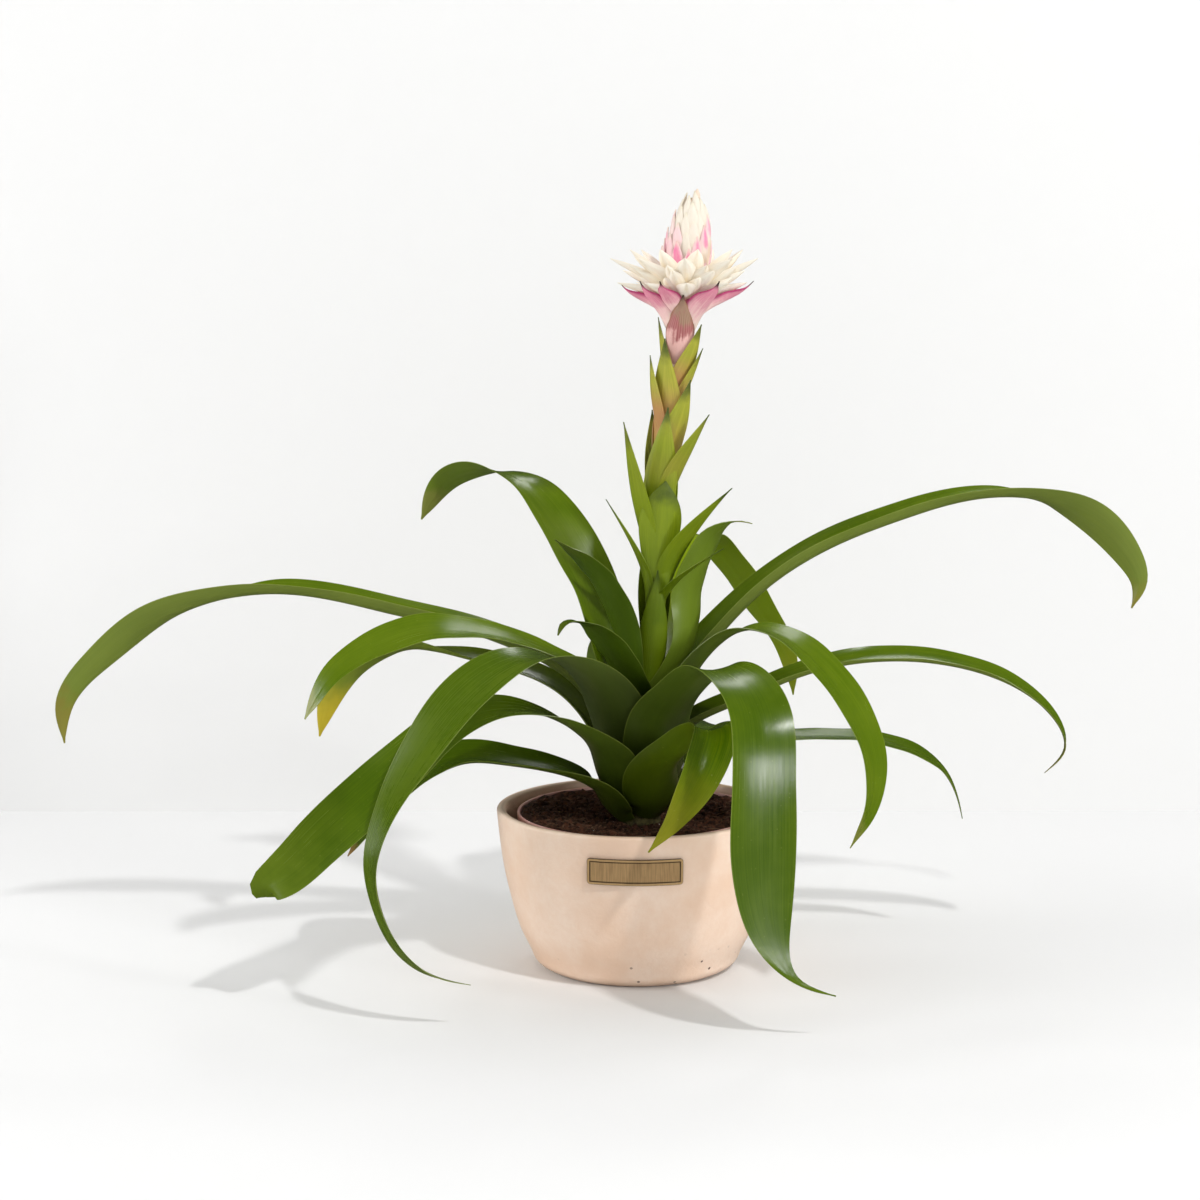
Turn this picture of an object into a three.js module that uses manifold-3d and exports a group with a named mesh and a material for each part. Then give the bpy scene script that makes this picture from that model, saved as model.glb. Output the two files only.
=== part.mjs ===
// A guzmania in bloom in its nursery pot, standing in a round ceramic planter.
// Millimetres, +Z up. The origin is the centre of the planter's foot, and the front faces -Y.
import * as THREE from "three";
import { mergeVertices } from "three/addons/utils/BufferGeometryUtils.js";
import Module from "manifold-3d";

const wasm = await Module();
wasm.setup();

// Clearance between pieces that touch, and the distance under which corners merge.
const GAP = 0.3;
const WELD_DISTANCE = 1e-4;
const DEGREE = Math.PI / 180;

// The planter's flank lists its outer radius and the height there. The rim's corners are bevelled by a
// share of their round, and the cove is the rounded corner between the floor and the wall inside.
const PLANTER = {
  height: 96, wall: 5.2, floor: 7, rimRound: 1.6, bevelShare: 0.3, segments: 40,
  flank: [[54, 0], [59.5, 3], [62.8, 8], [68.3, 19.5], [74.5, 38], [79, 57], [81.8, 75], [84, 96]],
  flankSteps: 10, footCrowding: 1.5, cove: { rise: 4, flare: 1, run: 3 },
};
const PLATE = {
  width: 56, height: 15.5, thickness: 1.7, corner: 1.8, cornerShare: 0.3, centreX: -2, centreZ: 75.5,
  steps: 12,
};
const POT = {
  rimRadius: 71.7, shoulderRadius: 69.6, baseRadius: 45, bottom: PLANTER.floor + GAP, top: 95, wall: 1.6,
  lip: { height: 7, taper: 0.4, round: 0.6, step: 1.1 }, segments: 40,
  holes: 6, holeRadius: 4, holeCircle: 29, holeSides: 12,
};
// The soil's top is dished towards the crown: hollow shapes the slope, and rough is the size of its lumps.
// Its side leaves the pot's wall a little below the step under the pot's lip.
const SOIL = { edge: 93, centre: 86, hollow: 1.6, rough: 0.8, rings: 6, segments: 40, belowStep: 0.8 };
// The crown's foot starts at a share of its radius and reaches the full radius at its height.
const CROWN = {
  x: 2, bottom: 64, collar: 86, top: 150, radius: 13, topRadius: 4.8, sides: 20,
  foot: { share: 0.7, rise: 1.5, height: 8 },
};

// A leaf blade: its thickness, the strips across it and the spacing of the stations along it. They lie
// closer where it bends: a radian of bend counts as bendLength. It swings from its seat's direction to its
// heading over the swing's shares of its length.
const BLADE = {
  thickness: 0.7, strips: 4, spacing: 24, extraStations: 4, pointHalfWidth: 0.5,
  samples: 240, bendLength: 22, tangentShare: 0.003, swing: [0.05, 0.4],
};
// A sheath's curve is this many times as wide as its distance from the crown's axis, for the outermost leaf
// and the innermost, and it ends at a half angle in degrees. Its first stretch leans straight off its seat.
const SHEATH = { outerFlare: 1.5, innerFlare: 1.1, outerAngle: 50, innerAngle: 68, seatLength: 12 };
// Half width along a leaf, as a share of its widest half width.
const BLADE_OUTLINE = [
  [0, 0.72], [0.06, 1.02], [0.14, 1.1], [0.28, 0.93], [0.45, 0.94], [0.62, 1], [0.78, 0.88], [0.9, 0.54],
  [0.96, 0.27], [1, 0],
];
// Half angle of the channel along a blade, in degrees.
const CHANNEL = [[0, 30], [0.2, 26], [0.45, 16], [0.7, 11], [1, 6]];
// First leaf's seat on the crown, the rise from each seat to the next, and how far the leaves lean outwards
// there in degrees, from the outermost to the innermost.
const SEATS = { first: 88.5, rise: 2.9, outerLean: 46, innerLean: 12 };

// The leaves from the outermost to the innermost. azimuth is the seat's direction round the crown, and
// heading the direction in which the blade runs, both in degrees from +X. route holds the midrib's points,
// in millimetres. roll turns the blade about its midrib, in degrees, at shares of its length.
const LEAVES = [
  {
    name: "leaf_01", halfWidth: 17, azimuth: 212, heading: 184,
    route: [[-22, -20, 108], [-45, -23, 121], [-75, -20, 127], [-102, -14, 128], [-126, -8, 118],
      [-151, -3, 96], [-174, 0, 65]],
    roll: [[0, 0], [0.3, -8], [0.6, -18], [1, -20]],
    channel: [[0, 40], [0.3, 38], [0.6, 30], [1, 12]],
  },
  {
    name: "leaf_02", halfWidth: 13.5, azimuth: 300, heading: 290,
    route: [[10, -31, 117], [22, -49, 138], [34, -67, 153], [42, -85, 158], [38, -99, 145],
      [27, -106, 123], [16, -108, 107], [5, -110, 94]],
    roll: [[0, 0], [0.3, 0], [0.6, 0], [1, 0]],
    outline: [[0, 0.9], [0.08, 1.35], [0.2, 1.4], [0.35, 1.15], [0.52, 1], [0.72, 0.9], [0.88, 0.5],
      [1, 0]],
    channel: [[0, 40], [0.5, 42], [0.7, 22], [1, 8]],
  },
  {
    name: "leaf_03", halfWidth: 16, azimuth: 62, heading: 62,
    route: [[22, 40, 112], [42, 86, 124], [60, 128, 120], [76, 168, 94], [86, 196, 60]],
    roll: [[0, 0], [1, 0]],
  },
  {
    name: "leaf_04", halfWidth: 18, azimuth: 226, heading: 206,
    route: [[-16, -27, 128], [-31, -42, 147], [-54, -55, 162], [-79, -66, 167], [-104, -76, 161],
      [-129, -87, 143], [-159, -98, 117], [-182, -103, 96], [-203, -107, 78], [-210, -105, 72],
      [-210, -101, 66]],
    roll: [[0, 0], [0.2, 0], [0.4, -12], [0.6, -38], [0.8, -50], [1, -50]],
    outline: [[0, 0.72], [0.06, 1.02], [0.14, 1.15], [0.28, 0.95], [0.45, 0.86], [0.62, 0.87],
      [0.8, 0.88], [0.9, 0.78], [0.96, 0.6], [1, 0.3]],
  },
  {
    name: "leaf_05", halfWidth: 20, azimuth: 296, heading: 296,
    route: [[15, -33, 155], [27, -53, 176], [40, -79, 192], [55, -106, 191], [65, -130, 175],
      [66, -145, 143], [66, -152, 98], [70, -156, 62], [84, -158, 35], [106, -158, 26]],
    roll: [[0, 0], [1, 0]],
    outline: [[0, 0.72], [0.06, 1.02], [0.14, 1.1], [0.28, 0.93], [0.45, 0.94], [0.62, 1], [0.74, 1],
      [0.8, 0.87], [0.85, 0.65], [0.895, 0.35], [0.934, 0.12], [0.97, 0.06], [1, 0]],
  },
  {
    name: "leaf_06", halfWidth: 16, azimuth: 88, heading: 86,
    route: [[4, 42, 136], [9, 95, 158], [13, 150, 152], [16, 210, 116], [18, 250, 76]],
    roll: [[0, 0], [1, 0]],
  },
  {
    name: "leaf_07", halfWidth: 9, azimuth: 22, heading: 12,
    route: [[32, 11, 117], [63, 16, 131], [99, 21, 135], [130, 26, 134], [162, 32, 127], [186, 36, 114],
      [197, 38, 97], [202, 40, 79]],
    roll: [[0, 0], [0.35, 10], [0.6, 16], [1, 25]],
  },
  {
    name: "leaf_08", halfWidth: 14, azimuth: 162, heading: 170,
    route: [[-28.5, 14, 146], [-50, 22, 166], [-78, 24, 177], [-110, 26, 184], [-141, 28, 188],
      [-165, 28, 182], [-183, 28, 163], [-193, 28, 133]],
    roll: [[0, 0], [0.4, -10], [0.6, 10], [0.8, 50], [1, 60]],
    channel: [[0, 40], [0.3, 34], [0.6, 24], [1, 8]],
    outline: [[0, 0.68], [0.06, 0.97], [0.14, 1.07], [0.28, 0.93], [0.45, 0.94], [0.62, 1], [0.78, 0.88],
      [0.9, 0.54], [0.96, 0.27], [1, 0]],
  },
  {
    name: "leaf_09", halfWidth: 19.5, azimuth: 240, heading: 230,
    route: [[-16, -31, 163], [-29, -49, 184], [-46, -67, 196], [-70, -88, 198], [-95, -104, 183],
      [-118, -118, 156], [-138, -126, 122], [-147, -130, 92], [-144, -132, 68], [-134, -134, 46],
      [-117, -136, 32], [-93, -138, 26]],
    roll: [[0, 0], [0.3, 0], [0.5, 0], [0.68, 28], [0.8, 30], [0.9, 15], [1, 0]],
    outline: [[0, 0.72], [0.06, 1.02], [0.14, 1.1], [0.28, 0.93], [0.45, 0.99], [0.6, 1.02], [0.7, 0.9],
      [0.8, 0.66], [0.88, 0.45], [0.95, 0.22], [1, 0]],
  },
  {
    name: "leaf_10", halfWidth: 18, azimuth: 173, heading: 178,
    route: [[-33, 10, 164], [-70, 10, 189], [-106, 10, 202], [-148, 10, 212], [-177, 10, 219],
      [-216, 9, 224], [-256, 8, 219], [-294, 6, 205], [-322, 4, 183], [-342, 2, 157], [-343, 2, 134]],
    roll: [[0, 0], [0.48, 0], [0.6, 4], [0.72, 22], [0.85, 40], [1, 50]],
    channel: [[0, 64], [0.25, 62], [0.5, 56], [0.7, 30], [1, 12]],
    outline: [[0, 0.5], [0.06, 0.7], [0.14, 0.93], [0.28, 0.93], [0.45, 0.94], [0.62, 1], [0.78, 0.88],
      [0.9, 0.54], [0.96, 0.27], [1, 0]],
  },
  {
    name: "leaf_11", halfWidth: 14, azimuth: 2, heading: 8,
    route: [[28, 4, 141], [59, 8, 157], [89, 12, 170], [120, 16, 179], [150, 20, 182], [181, 24, 180],
      [211, 27, 173], [235, 30, 162], [253, 32, 147], [263, 33, 125], [251, 34, 109]],
    roll: [[0, 0], [0.4, 6], [0.7, 12], [1, 20]],
    channel: [[0, 50], [0.3, 48], [0.6, 40], [0.8, 24], [1, 12]],
  },
  {
    name: "leaf_12", halfWidth: 15, azimuth: 93, heading: 98,
    route: [[-0.5, 39.5, 150], [-8, 74, 176], [-13, 118, 177], [-19, 160, 148], [-22, 184, 118]],
    roll: [[0, 0], [1, 0]],
    outline: [[0, 0.48], [0.06, 0.68], [0.14, 0.92], [0.28, 0.93], [0.45, 0.94], [0.62, 1], [0.78, 0.88],
      [0.9, 0.54], [0.96, 0.27], [1, 0]],
  },
  {
    name: "leaf_13", halfWidth: 16.5, azimuth: 335, heading: 325,
    route: [[34, -20, 183], [49, -28, 201], [66, -42, 210], [87, -58, 206], [106, -72, 191],
      [122, -82, 170], [132, -90, 143], [131, -94, 118], [119, -96, 93]],
    roll: [[0, 0], [1, 0]],
  },
  {
    name: "leaf_14", halfWidth: 15, azimuth: 196, heading: 195,
    route: [[-25, -8, 174], [-48, -14, 189], [-72, -22, 200], [-98, -30, 207], [-123, -38, 209],
      [-150, -44, 201], [-175, -50, 186], [-192, -54, 159]],
    roll: [[0, 0], [0.3, -8], [0.6, -20], [1, -30]],
    channel: [[0, 40], [0.3, 30], [0.6, 18], [1, 8]],
    outline: [[0, 0.68], [0.06, 0.97], [0.14, 1.07], [0.28, 0.93], [0.45, 0.94], [0.62, 1], [0.78, 0.88],
      [0.9, 0.54], [0.96, 0.27], [1, 0]],
  },
  {
    name: "leaf_15", halfWidth: 19, azimuth: 12, heading: 6,
    route: [[31.5, 8.5, 176], [50, 12, 199], [74, 16, 223], [98, 20, 240], [128, 24, 255], [161, 28, 267],
      [192, 32, 276], [235, 36, 279], [273, 40, 267], [299, 42, 243], [307, 42, 225], [303, 42, 210]],
    roll: [[0, 0], [0.6, 0], [0.72, -8], [0.82, -35], [0.92, -55], [1, -55]],
    channel: [[0, 64], [0.25, 62], [0.5, 56], [0.7, 32], [1, 12]],
  },
  {
    name: "leaf_16", halfWidth: 14, azimuth: 67, heading: 52,
    route: [[12.5, 26.5, 182], [20, 39, 212], [32, 58, 238], [43, 78, 251], [55, 92, 238], [70, 108, 217],
      [83, 118, 196], [98, 128, 172], [104, 134, 140]],
    roll: [[0, 0], [1, 0]],
    outline: [[0, 0.68], [0.06, 0.97], [0.14, 1.07], [0.28, 0.93], [0.45, 0.94], [0.62, 1], [0.78, 0.88],
      [0.9, 0.54], [0.96, 0.27], [1, 0]],
  },
  {
    name: "leaf_17", halfWidth: 17.5, azimuth: 140, heading: 142,
    route: [[-16.5, 9.5, 186], [-23, 28, 217], [-36, 44, 246], [-52, 60, 270], [-71, 76, 286],
      [-93, 88, 291], [-116, 98, 285], [-135, 104, 258]],
    roll: [[0, 0], [0.3, -15], [0.6, -20], [0.78, 15], [1, 35]],
    outline: [[0, 0.54], [0.06, 0.77], [0.14, 0.96], [0.28, 0.93], [0.4, 0.93], [0.5, 0.88], [0.6, 0.8],
      [0.69, 0.8], [0.78, 0.88], [0.9, 0.54], [0.96, 0.27], [1, 0]],
  },
  {
    name: "leaf_18", halfWidth: 15.5, azimuth: 249, heading: 225,
    route: [[-7, -24.5, 178], [-17, -39, 199], [-26, -46, 211], [-35, -54, 216], [-43, -60, 215],
      [-46, -62, 209]],
    roll: [[0, 0], [1, 0]],
    outline: [[0, 0.6], [0.06, 0.86], [0.14, 0.98], [0.28, 0.98], [0.45, 0.98], [0.62, 0.94],
      [0.74, 0.78], [0.82, 0.5], [0.88, 0.3], [0.94, 0.2], [1, 0]],
  },
  {
    name: "leaf_19", halfWidth: 14, azimuth: 206, heading: 222,
    route: [[-9, -9.5, 200], [-19, -14, 228], [-31, -20, 246], [-48, -26, 260]],
    roll: [[0, 0], [1, 0]],
    outline: [[0, 0.63], [0.06, 0.9], [0.14, 1.03], [0.28, 0.93], [0.45, 0.94], [0.62, 1], [0.78, 0.88],
      [0.9, 0.54], [0.96, 0.27], [1, 0]],
  },
  {
    name: "leaf_20", halfWidth: 14.8, azimuth: 333, heading: 320,
    route: [[30.5, 3, 199], [32, 5.5, 224], [39, 3, 246], [46, 0, 261], [57, -2, 268], [68, -4, 267]],
    roll: [[0, 0], [1, 0]],
    outline: [[0, 0.53], [0.06, 0.74], [0.14, 0.82], [0.28, 0.76], [0.45, 0.88], [0.62, 1.02],
      [0.72, 1], [0.83, 0.74], [0.89, 0.38], [0.93, 0.15], [0.97, 0.07], [1, 0]],
  },
];

// The scape: its centre line's X and height, and its radius at heights.
const SCAPE = {
  line: [[3, 150], [6.5, 170], [9, 195], [10.8, 230], [13, 280], [17, 315], [21, 345], [25.5, 378],
    [28.5, 405], [34.5, 460]],
  radius: 4.4, bottom: CROWN.top + GAP, top: 396, levels: 9, sides: 10,
};
// A bract's half width at its point, the tightest radius that it curls to, the share of its length at which
// its belly lies, and the share over which its direction is measured.
const BRACT = { pointHalfWidth: 0.4, curl: 2, bellyShare: 0.45, tangentShare: 0.02 };
// Half width along a bract, as a share of its widest: a clasping one, a lance-shaped one and a plump spike.
const BRACT_OUTLINE = [[0, 0.8], [0.25, 1], [0.55, 0.8], [0.82, 0.34], [1, 0]];
const PLUMP_OUTLINE = [[0, 0.6], [0.35, 0.9], [0.6, 1], [0.8, 0.72], [0.93, 0.32], [1, 0]];
const LANCE_OUTLINE = [[0, 0.4], [0.3, 0.6], [0.55, 0.9], [0.72, 1], [0.86, 0.72], [0.95, 0.3], [1, 0]];

// Green bracts on the scape: the heights of each one's foot and tip, the direction it faces in degrees
// from +X, how far its tip stands from the scape's centre line, and its half width. Some have a belly of
// their own, which is how far the blade stands off its seat, a roll about the midrib in degrees, or another
// outline. The larger the openness, the flatter the blade is across.
const STALK_BRACTS = [
  { base: 170, tip: 240, azimuth: 275, reach: 11, halfWidth: 10, belly: 2.5 },
  { base: 200, tip: 257, azimuth: 310, reach: 58, halfWidth: 5, belly: 5 },
  { base: 200, tip: 272, azimuth: 95, reach: 14, halfWidth: 11 },
  { base: 204, tip: 282, azimuth: 198, reach: 33, halfWidth: 8 },
  { base: 210, tip: 293, azimuth: 280, reach: 13, halfWidth: 13, openness: 2.6, outline: LANCE_OUTLINE },
  { base: 222, tip: 290, azimuth: 328, reach: 48, halfWidth: 8.5, belly: 11, roll: -20 },
  { base: 240, tip: 308, azimuth: 62, reach: 18, halfWidth: 11 },
  { base: 246, tip: 328, azimuth: 218, reach: 34, halfWidth: 8.5, belly: 12 },
  { base: 266, tip: 333, azimuth: 130, reach: 16, halfWidth: 11 },
  { base: 262, tip: 336, azimuth: 262, reach: 14, halfWidth: 11 },
  { base: 276, tip: 332, azimuth: 326, reach: 27, halfWidth: 8.5, belly: 7, roll: -10 },
  { base: 288, tip: 352, azimuth: 306, reach: 15, halfWidth: 12 },
  { base: 306, tip: 366, azimuth: 75, reach: 15, halfWidth: 11 },
  { base: 308, tip: 376, azimuth: 236, reach: 17, halfWidth: 11.5 },
  { base: 318, tip: 366, azimuth: 204, reach: 18, halfWidth: 7, belly: 7 },
  { base: 326, tip: 370, azimuth: 334, reach: 15, halfWidth: 8 },
  { base: 334, tip: 384, azimuth: 312, reach: 16, halfWidth: 9.5 },
  { base: 336, tip: 388, azimuth: 196, reach: 15, halfWidth: 9 },
];
const STALK_BRACT = {
  seat: 3.8, belly: 4, clasp: 100, openness: 1.5, roll: 0, outline: BRACT_OUTLINE,
  stations: 5, strips: 3, thickness: 0.9,
};

// Pink primary bracts at the foot of the flower head, on a sleeve round the scape.
const HEAD_BRACTS = [
  { base: 361, tip: 399, azimuth: 264, reach: 10, halfWidth: 10, belly: 4, openness: 0.5 },
  { base: 366, tip: 404, azimuth: 95, reach: 24, halfWidth: 10 },
  { base: 374, tip: 409, azimuth: 207, reach: 31, halfWidth: 9 },
  { base: 374, tip: 409, azimuth: 302, reach: 33, halfWidth: 10 },
  { base: 378, tip: 410, azimuth: 48, reach: 33, halfWidth: 9 },
  { base: 380, tip: 408, azimuth: 176, reach: 39, halfWidth: 8 },
  { base: 380, tip: 409, azimuth: 4, reach: 39, halfWidth: 8.5 },
  { base: 381, tip: 409, azimuth: 240, reach: 33, halfWidth: 8 },
  { base: 381, tip: 410, azimuth: 138, reach: 34, halfWidth: 9 },
  { base: 366, tip: 404, azimuth: 272, reach: 18, halfWidth: 10, belly: 5, openness: 0.5 },
];
const HEAD_BRACT = {
  seat: 5.4, belly: 9, clasp: 75, openness: 0.15, roll: 0, outline: BRACT_OUTLINE,
  stations: 5, strips: 2, thickness: 1,
};
// The sleeve's outer radii at heights, and the heights of the bore's bends.
const HEAD_SLEEVE = {
  inner: SCAPE.radius + GAP, levels: [[357, 6.1], [380, 6.8], [396, 9.5]], boreHeights: [352, 380, 426],
};

// The flower head: a core, scales that cover it, and fans of cream spikes round its foot. The scales sink
// into the core by seatDepth, their tips stand off it, and the topmost ones are narrower.
const HEAD = {
  core: [[396.3, 6], [404, 9.5], [415, 11.5], [429, 12], [440, 10], [450, 6], [457, 2.6], [460, 0.8]],
  sides: 12, scales: 30, firstScale: 402, lastScale: 446, scaleLength: 17, scaleHalfWidth: 6,
  goldenAngle: 137.5, seatDepth: 1.5, tipClearance: 2.6, narrowing: 0.35, top: 462,
};
// The fans' directions in degrees from +X, each with a factor for its spikes' reach.
const SPIKE_FANS = [
  [180, 1.1], [224, 1], [264, 0.92], [306, 0.95], [358, 0.95], [52, 1], [96, 1], [138, 1],
];
const SPIKES = [
  { turn: -12, reach: 0.8, tip: 414, halfWidth: 5.4 },
  { turn: 0, reach: 1, tip: 422, halfWidth: 6 },
  { turn: 14, reach: 0.68, tip: 427, halfWidth: 5.4 },
  { turn: 4, reach: 0.84, tip: 408, halfWidth: 5 },
];
const SPIKE = {
  base: 399, reach: 42, seat: 5, belly: 11, clasp: 40, openness: 1.2, roll: 0, outline: PLUMP_OUTLINE,
  cup: 1, thickness: 8,
};
const SCALE = { belly: 2, clasp: 50, openness: 1.2, roll: 0, outline: BRACT_OUTLINE, cup: 1, thickness: 3 };

// Natural cubic spline through one value at each knot.
function spline(knots, values) {
  const last = knots.length - 1;
  const bend = new Array(last + 1).fill(0);
  const carry = new Array(last + 1).fill(0);
  for (let i = 1; i < last; i++) {
    const before = knots[i] - knots[i - 1];
    const after = knots[i + 1] - knots[i];
    const share = before / (before + after);
    const pivot = share * bend[i - 1] + 2;
    const kink = (values[i + 1] - values[i]) / after - (values[i] - values[i - 1]) / before;
    bend[i] = (share - 1) / pivot;
    carry[i] = (6 * kink / (before + after) - share * carry[i - 1]) / pivot;
  }
  bend[last] = 0;
  for (let i = last - 1; i >= 0; i--) {
    bend[i] = bend[i] * bend[i + 1] + carry[i];
  }
  return (at) => {
    let i = 0;
    while (i < last - 1 && at > knots[i + 1]) {
      i++;
    }
    const step = knots[i + 1] - knots[i];
    const b = (at - knots[i]) / step;
    const a = 1 - b;
    const curve = ((a ** 3 - a) * bend[i] + (b ** 3 - b) * bend[i + 1]) * step ** 2 / 6;
    return a * values[i] + b * values[i + 1] + curve;
  };
}

// Spline through pairs of a knot and its value.
function profile(pairs) {
  return spline(pairs.map(([knot]) => knot), pairs.map(([, value]) => value));
}

// Smooth curve through points, as a function of the share of its chord length.
function routeCurve(points) {
  const knots = [0];
  for (let i = 1; i < points.length; i++) {
    knots.push(knots[i - 1] + points[i].distanceTo(points[i - 1]));
  }
  const total = knots[knots.length - 1];
  const axes = ["x", "y", "z"].map((axis) => spline(knots, points.map((point) => point[axis])));
  return (share) => new THREE.Vector3(...axes.map((along) => along(share * total)));
}

// Radius of the crown at a height.
function crownRadius(z) {
  const share = Math.max(z - CROWN.collar, 0) / (CROWN.top - CROWN.collar);
  return THREE.MathUtils.lerp(CROWN.radius, CROWN.topRadius, share);
}

// Closed geometry from its points and from triangles of their numbers.
function closedGeometry(points, triangles) {
  const geometry = new THREE.BufferGeometry();
  const places = points.flatMap((point) => point.toArray());
  geometry.setAttribute("position", new THREE.Float32BufferAttribute(places, 3));
  geometry.setIndex(triangles.flat());
  return geometry;
}

// A frame's side and upper normal, turned about the midrib by an angle in degrees.
function rolled(side, upper, degrees) {
  const turn = degrees * DEGREE;
  return {
    side: side.clone().multiplyScalar(Math.cos(turn)).addScaledVector(upper, -Math.sin(turn)),
    upper: upper.clone().multiplyScalar(Math.cos(turn)).addScaledVector(side, Math.sin(turn)),
  };
}

// Frames along a leaf's midrib: place, direction, side and upper normal at each station.
function leafFrames(leaf, order) {
  const inward = order / (LEAVES.length - 1);
  const seatHeight = SEATS.first + SEATS.rise * order;
  const lean = THREE.MathUtils.lerp(SEATS.outerLean, SEATS.innerLean, inward) * DEGREE;
  const flare = THREE.MathUtils.lerp(SHEATH.outerFlare, SHEATH.innerFlare, inward);
  const widest = THREE.MathUtils.lerp(SHEATH.outerAngle, SHEATH.innerAngle, inward) * DEGREE;
  const azimuth = leaf.azimuth * DEGREE;
  const out = new THREE.Vector3(Math.cos(azimuth), Math.sin(azimuth), 0);
  const foot = new THREE.Vector3(CROWN.x, 0, seatHeight);
  const seat = foot.addScaledVector(out, crownRadius(seatHeight) + GAP);
  const rise = out.clone().multiplyScalar(Math.sin(lean)).setZ(Math.cos(lean));
  const start = seat.clone().addScaledVector(rise, SHEATH.seatLength);
  const curve = routeCurve([seat, start, ...leaf.route.map((point) => new THREE.Vector3(...point))]);

  const fine = BLADE.samples;
  const points = [curve(0)];
  const lengths = [0];
  const effort = [0];
  for (let i = 1; i <= fine; i++) {
    points.push(curve(i / fine));
    const step = points[i].clone().sub(points[i - 1]);
    const bend = i > 1 ? step.angleTo(points[i - 1].clone().sub(points[i - 2])) : 0;
    lengths.push(lengths[i - 1] + step.length());
    effort.push(effort[i - 1] + step.length() + BLADE.bendLength * bend);
  }
  const roll = profile(leaf.roll);
  const outline = profile(leaf.outline ?? BLADE_OUTLINE);
  const channel = profile(leaf.channel ?? CHANNEL);
  const stations = Math.round(lengths[fine] / BLADE.spacing) + BLADE.extraStations;
  const frames = [];
  for (let s = 0; s < stations; s++) {
    const goal = effort[fine] * s / (stations - 1);
    let i = 1;
    while (i < fine && effort[i] < goal) {
      i++;
    }
    const between = (goal - effort[i - 1]) / (effort[i] - effort[i - 1]);
    const at = (i - 1 + between) / fine;
    const place = curve(at);
    const ahead = curve(Math.min(at + BLADE.tangentShare, 1));
    const along = ahead.sub(curve(Math.max(at - BLADE.tangentShare, 0))).normalize();
    const share = THREE.MathUtils.lerp(lengths[i - 1], lengths[i], between) / lengths[fine];
    const swing = THREE.MathUtils.smoothstep(share, ...BLADE.swing);
    const heading = THREE.MathUtils.lerp(leaf.azimuth, leaf.heading, swing) * DEGREE;
    const side = new THREE.Vector3(Math.sin(heading), -Math.cos(heading), 0);
    side.addScaledVector(along, -side.dot(along)).normalize();
    const halfWidth = Math.max(leaf.halfWidth * outline(share), BLADE.pointHalfWidth);
    const reach = flare * Math.hypot(place.x - CROWN.x, place.y);
    const wrap = Math.min(halfWidth / reach, widest);
    const half = Math.max(wrap, channel(share) * DEGREE);
    frames.push({ place, ...rolled(side, side.clone().cross(along), roll(share)), halfWidth, half });
  }
  return frames;
}

// Strap blade of even thickness, curved across, from its frames.
function bladeGeometry(frames, thickness, strips) {
  const points = [];
  const rows = frames.map(({ place, side, upper, halfWidth, half }) => {
    const row = { top: [], bottom: [] };
    const radius = halfWidth / half;
    for (let j = 0; j <= strips; j++) {
      const angle = half * (2 * j / strips - 1);
      const top = place.clone()
        .addScaledVector(side, radius * Math.sin(angle))
        .addScaledVector(upper, radius * (1 - Math.cos(angle)));
      const bottom = top.clone()
        .addScaledVector(upper, -thickness * Math.cos(angle))
        .addScaledVector(side, thickness * Math.sin(angle));
      row.top.push(points.push(top) - 1);
      row.bottom.push(points.push(bottom) - 1);
    }
    return row;
  });
  const triangles = [];
  const quad = (a, b, c, d) => triangles.push([a, b, c], [a, c, d]);
  for (let i = 0; i + 1 < rows.length; i++) {
    const near = rows[i];
    const far = rows[i + 1];
    for (let j = 0; j < strips; j++) {
      quad(near.top[j], near.top[j + 1], far.top[j + 1], far.top[j]);
      triangles.push([near.bottom[j], far.bottom[j + 1], near.bottom[j + 1]]);
      triangles.push([near.bottom[j], far.bottom[j], far.bottom[j + 1]]);
    }
    quad(near.bottom[0], near.top[0], far.top[0], far.bottom[0]);
    quad(near.top[strips], near.bottom[strips], far.bottom[strips], far.top[strips]);
  }
  const first = rows[0];
  const last = rows[rows.length - 1];
  for (let j = 0; j < strips; j++) {
    quad(first.bottom[j], first.bottom[j + 1], first.top[j + 1], first.top[j]);
    quad(last.top[j], last.top[j + 1], last.bottom[j + 1], last.bottom[j]);
  }
  return closedGeometry(points, triangles);
}

// Closed geometry of a profile turned about Z. The profile is a list of [radius, z] that closes on itself
// or starts and ends on the axis, with the solid on its left.
function turned(outline, segments) {
  const points = outline.map(([radius, z]) => new THREE.Vector2(radius, z));
  const lathe = new THREE.LatheGeometry(points, segments);
  lathe.rotateX(Math.PI / 2);
  return welded(lathe);
}

// The same geometry with its corners merged and its flat slivers left out.
function welded(source) {
  const bare = new THREE.BufferGeometry();
  bare.setAttribute("position", source.getAttribute("position").clone());
  bare.setIndex(source.index?.clone() ?? null);
  const merged = mergeVertices(bare, WELD_DISTANCE);
  const index = [];
  const corners = merged.index.array;
  for (let i = 0; i < corners.length; i += 3) {
    const [a, b, c] = corners.slice(i, i + 3);
    if (a !== b && b !== c && c !== a) {
      index.push(a, b, c);
    }
  }
  merged.setIndex(index);
  return merged;
}

// Solid for joining and cutting, from a closed geometry.
function solid(geometry) {
  const closed = welded(geometry);
  const mesh = new wasm.Mesh({
    numProp: 3,
    vertProperties: new Float32Array(closed.getAttribute("position").array),
    triVerts: new Uint32Array(closed.index.array),
  });
  return new wasm.Manifold(mesh);
}

// Geometry of a joined or cut solid.
function geometryOf(body) {
  const mesh = body.getMesh();
  const geometry = new THREE.BufferGeometry();
  geometry.setAttribute("position", new THREE.BufferAttribute(new Float32Array(mesh.vertProperties), 3));
  geometry.setIndex(new THREE.BufferAttribute(new Uint32Array(mesh.triVerts), 1));
  return geometry;
}

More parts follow.
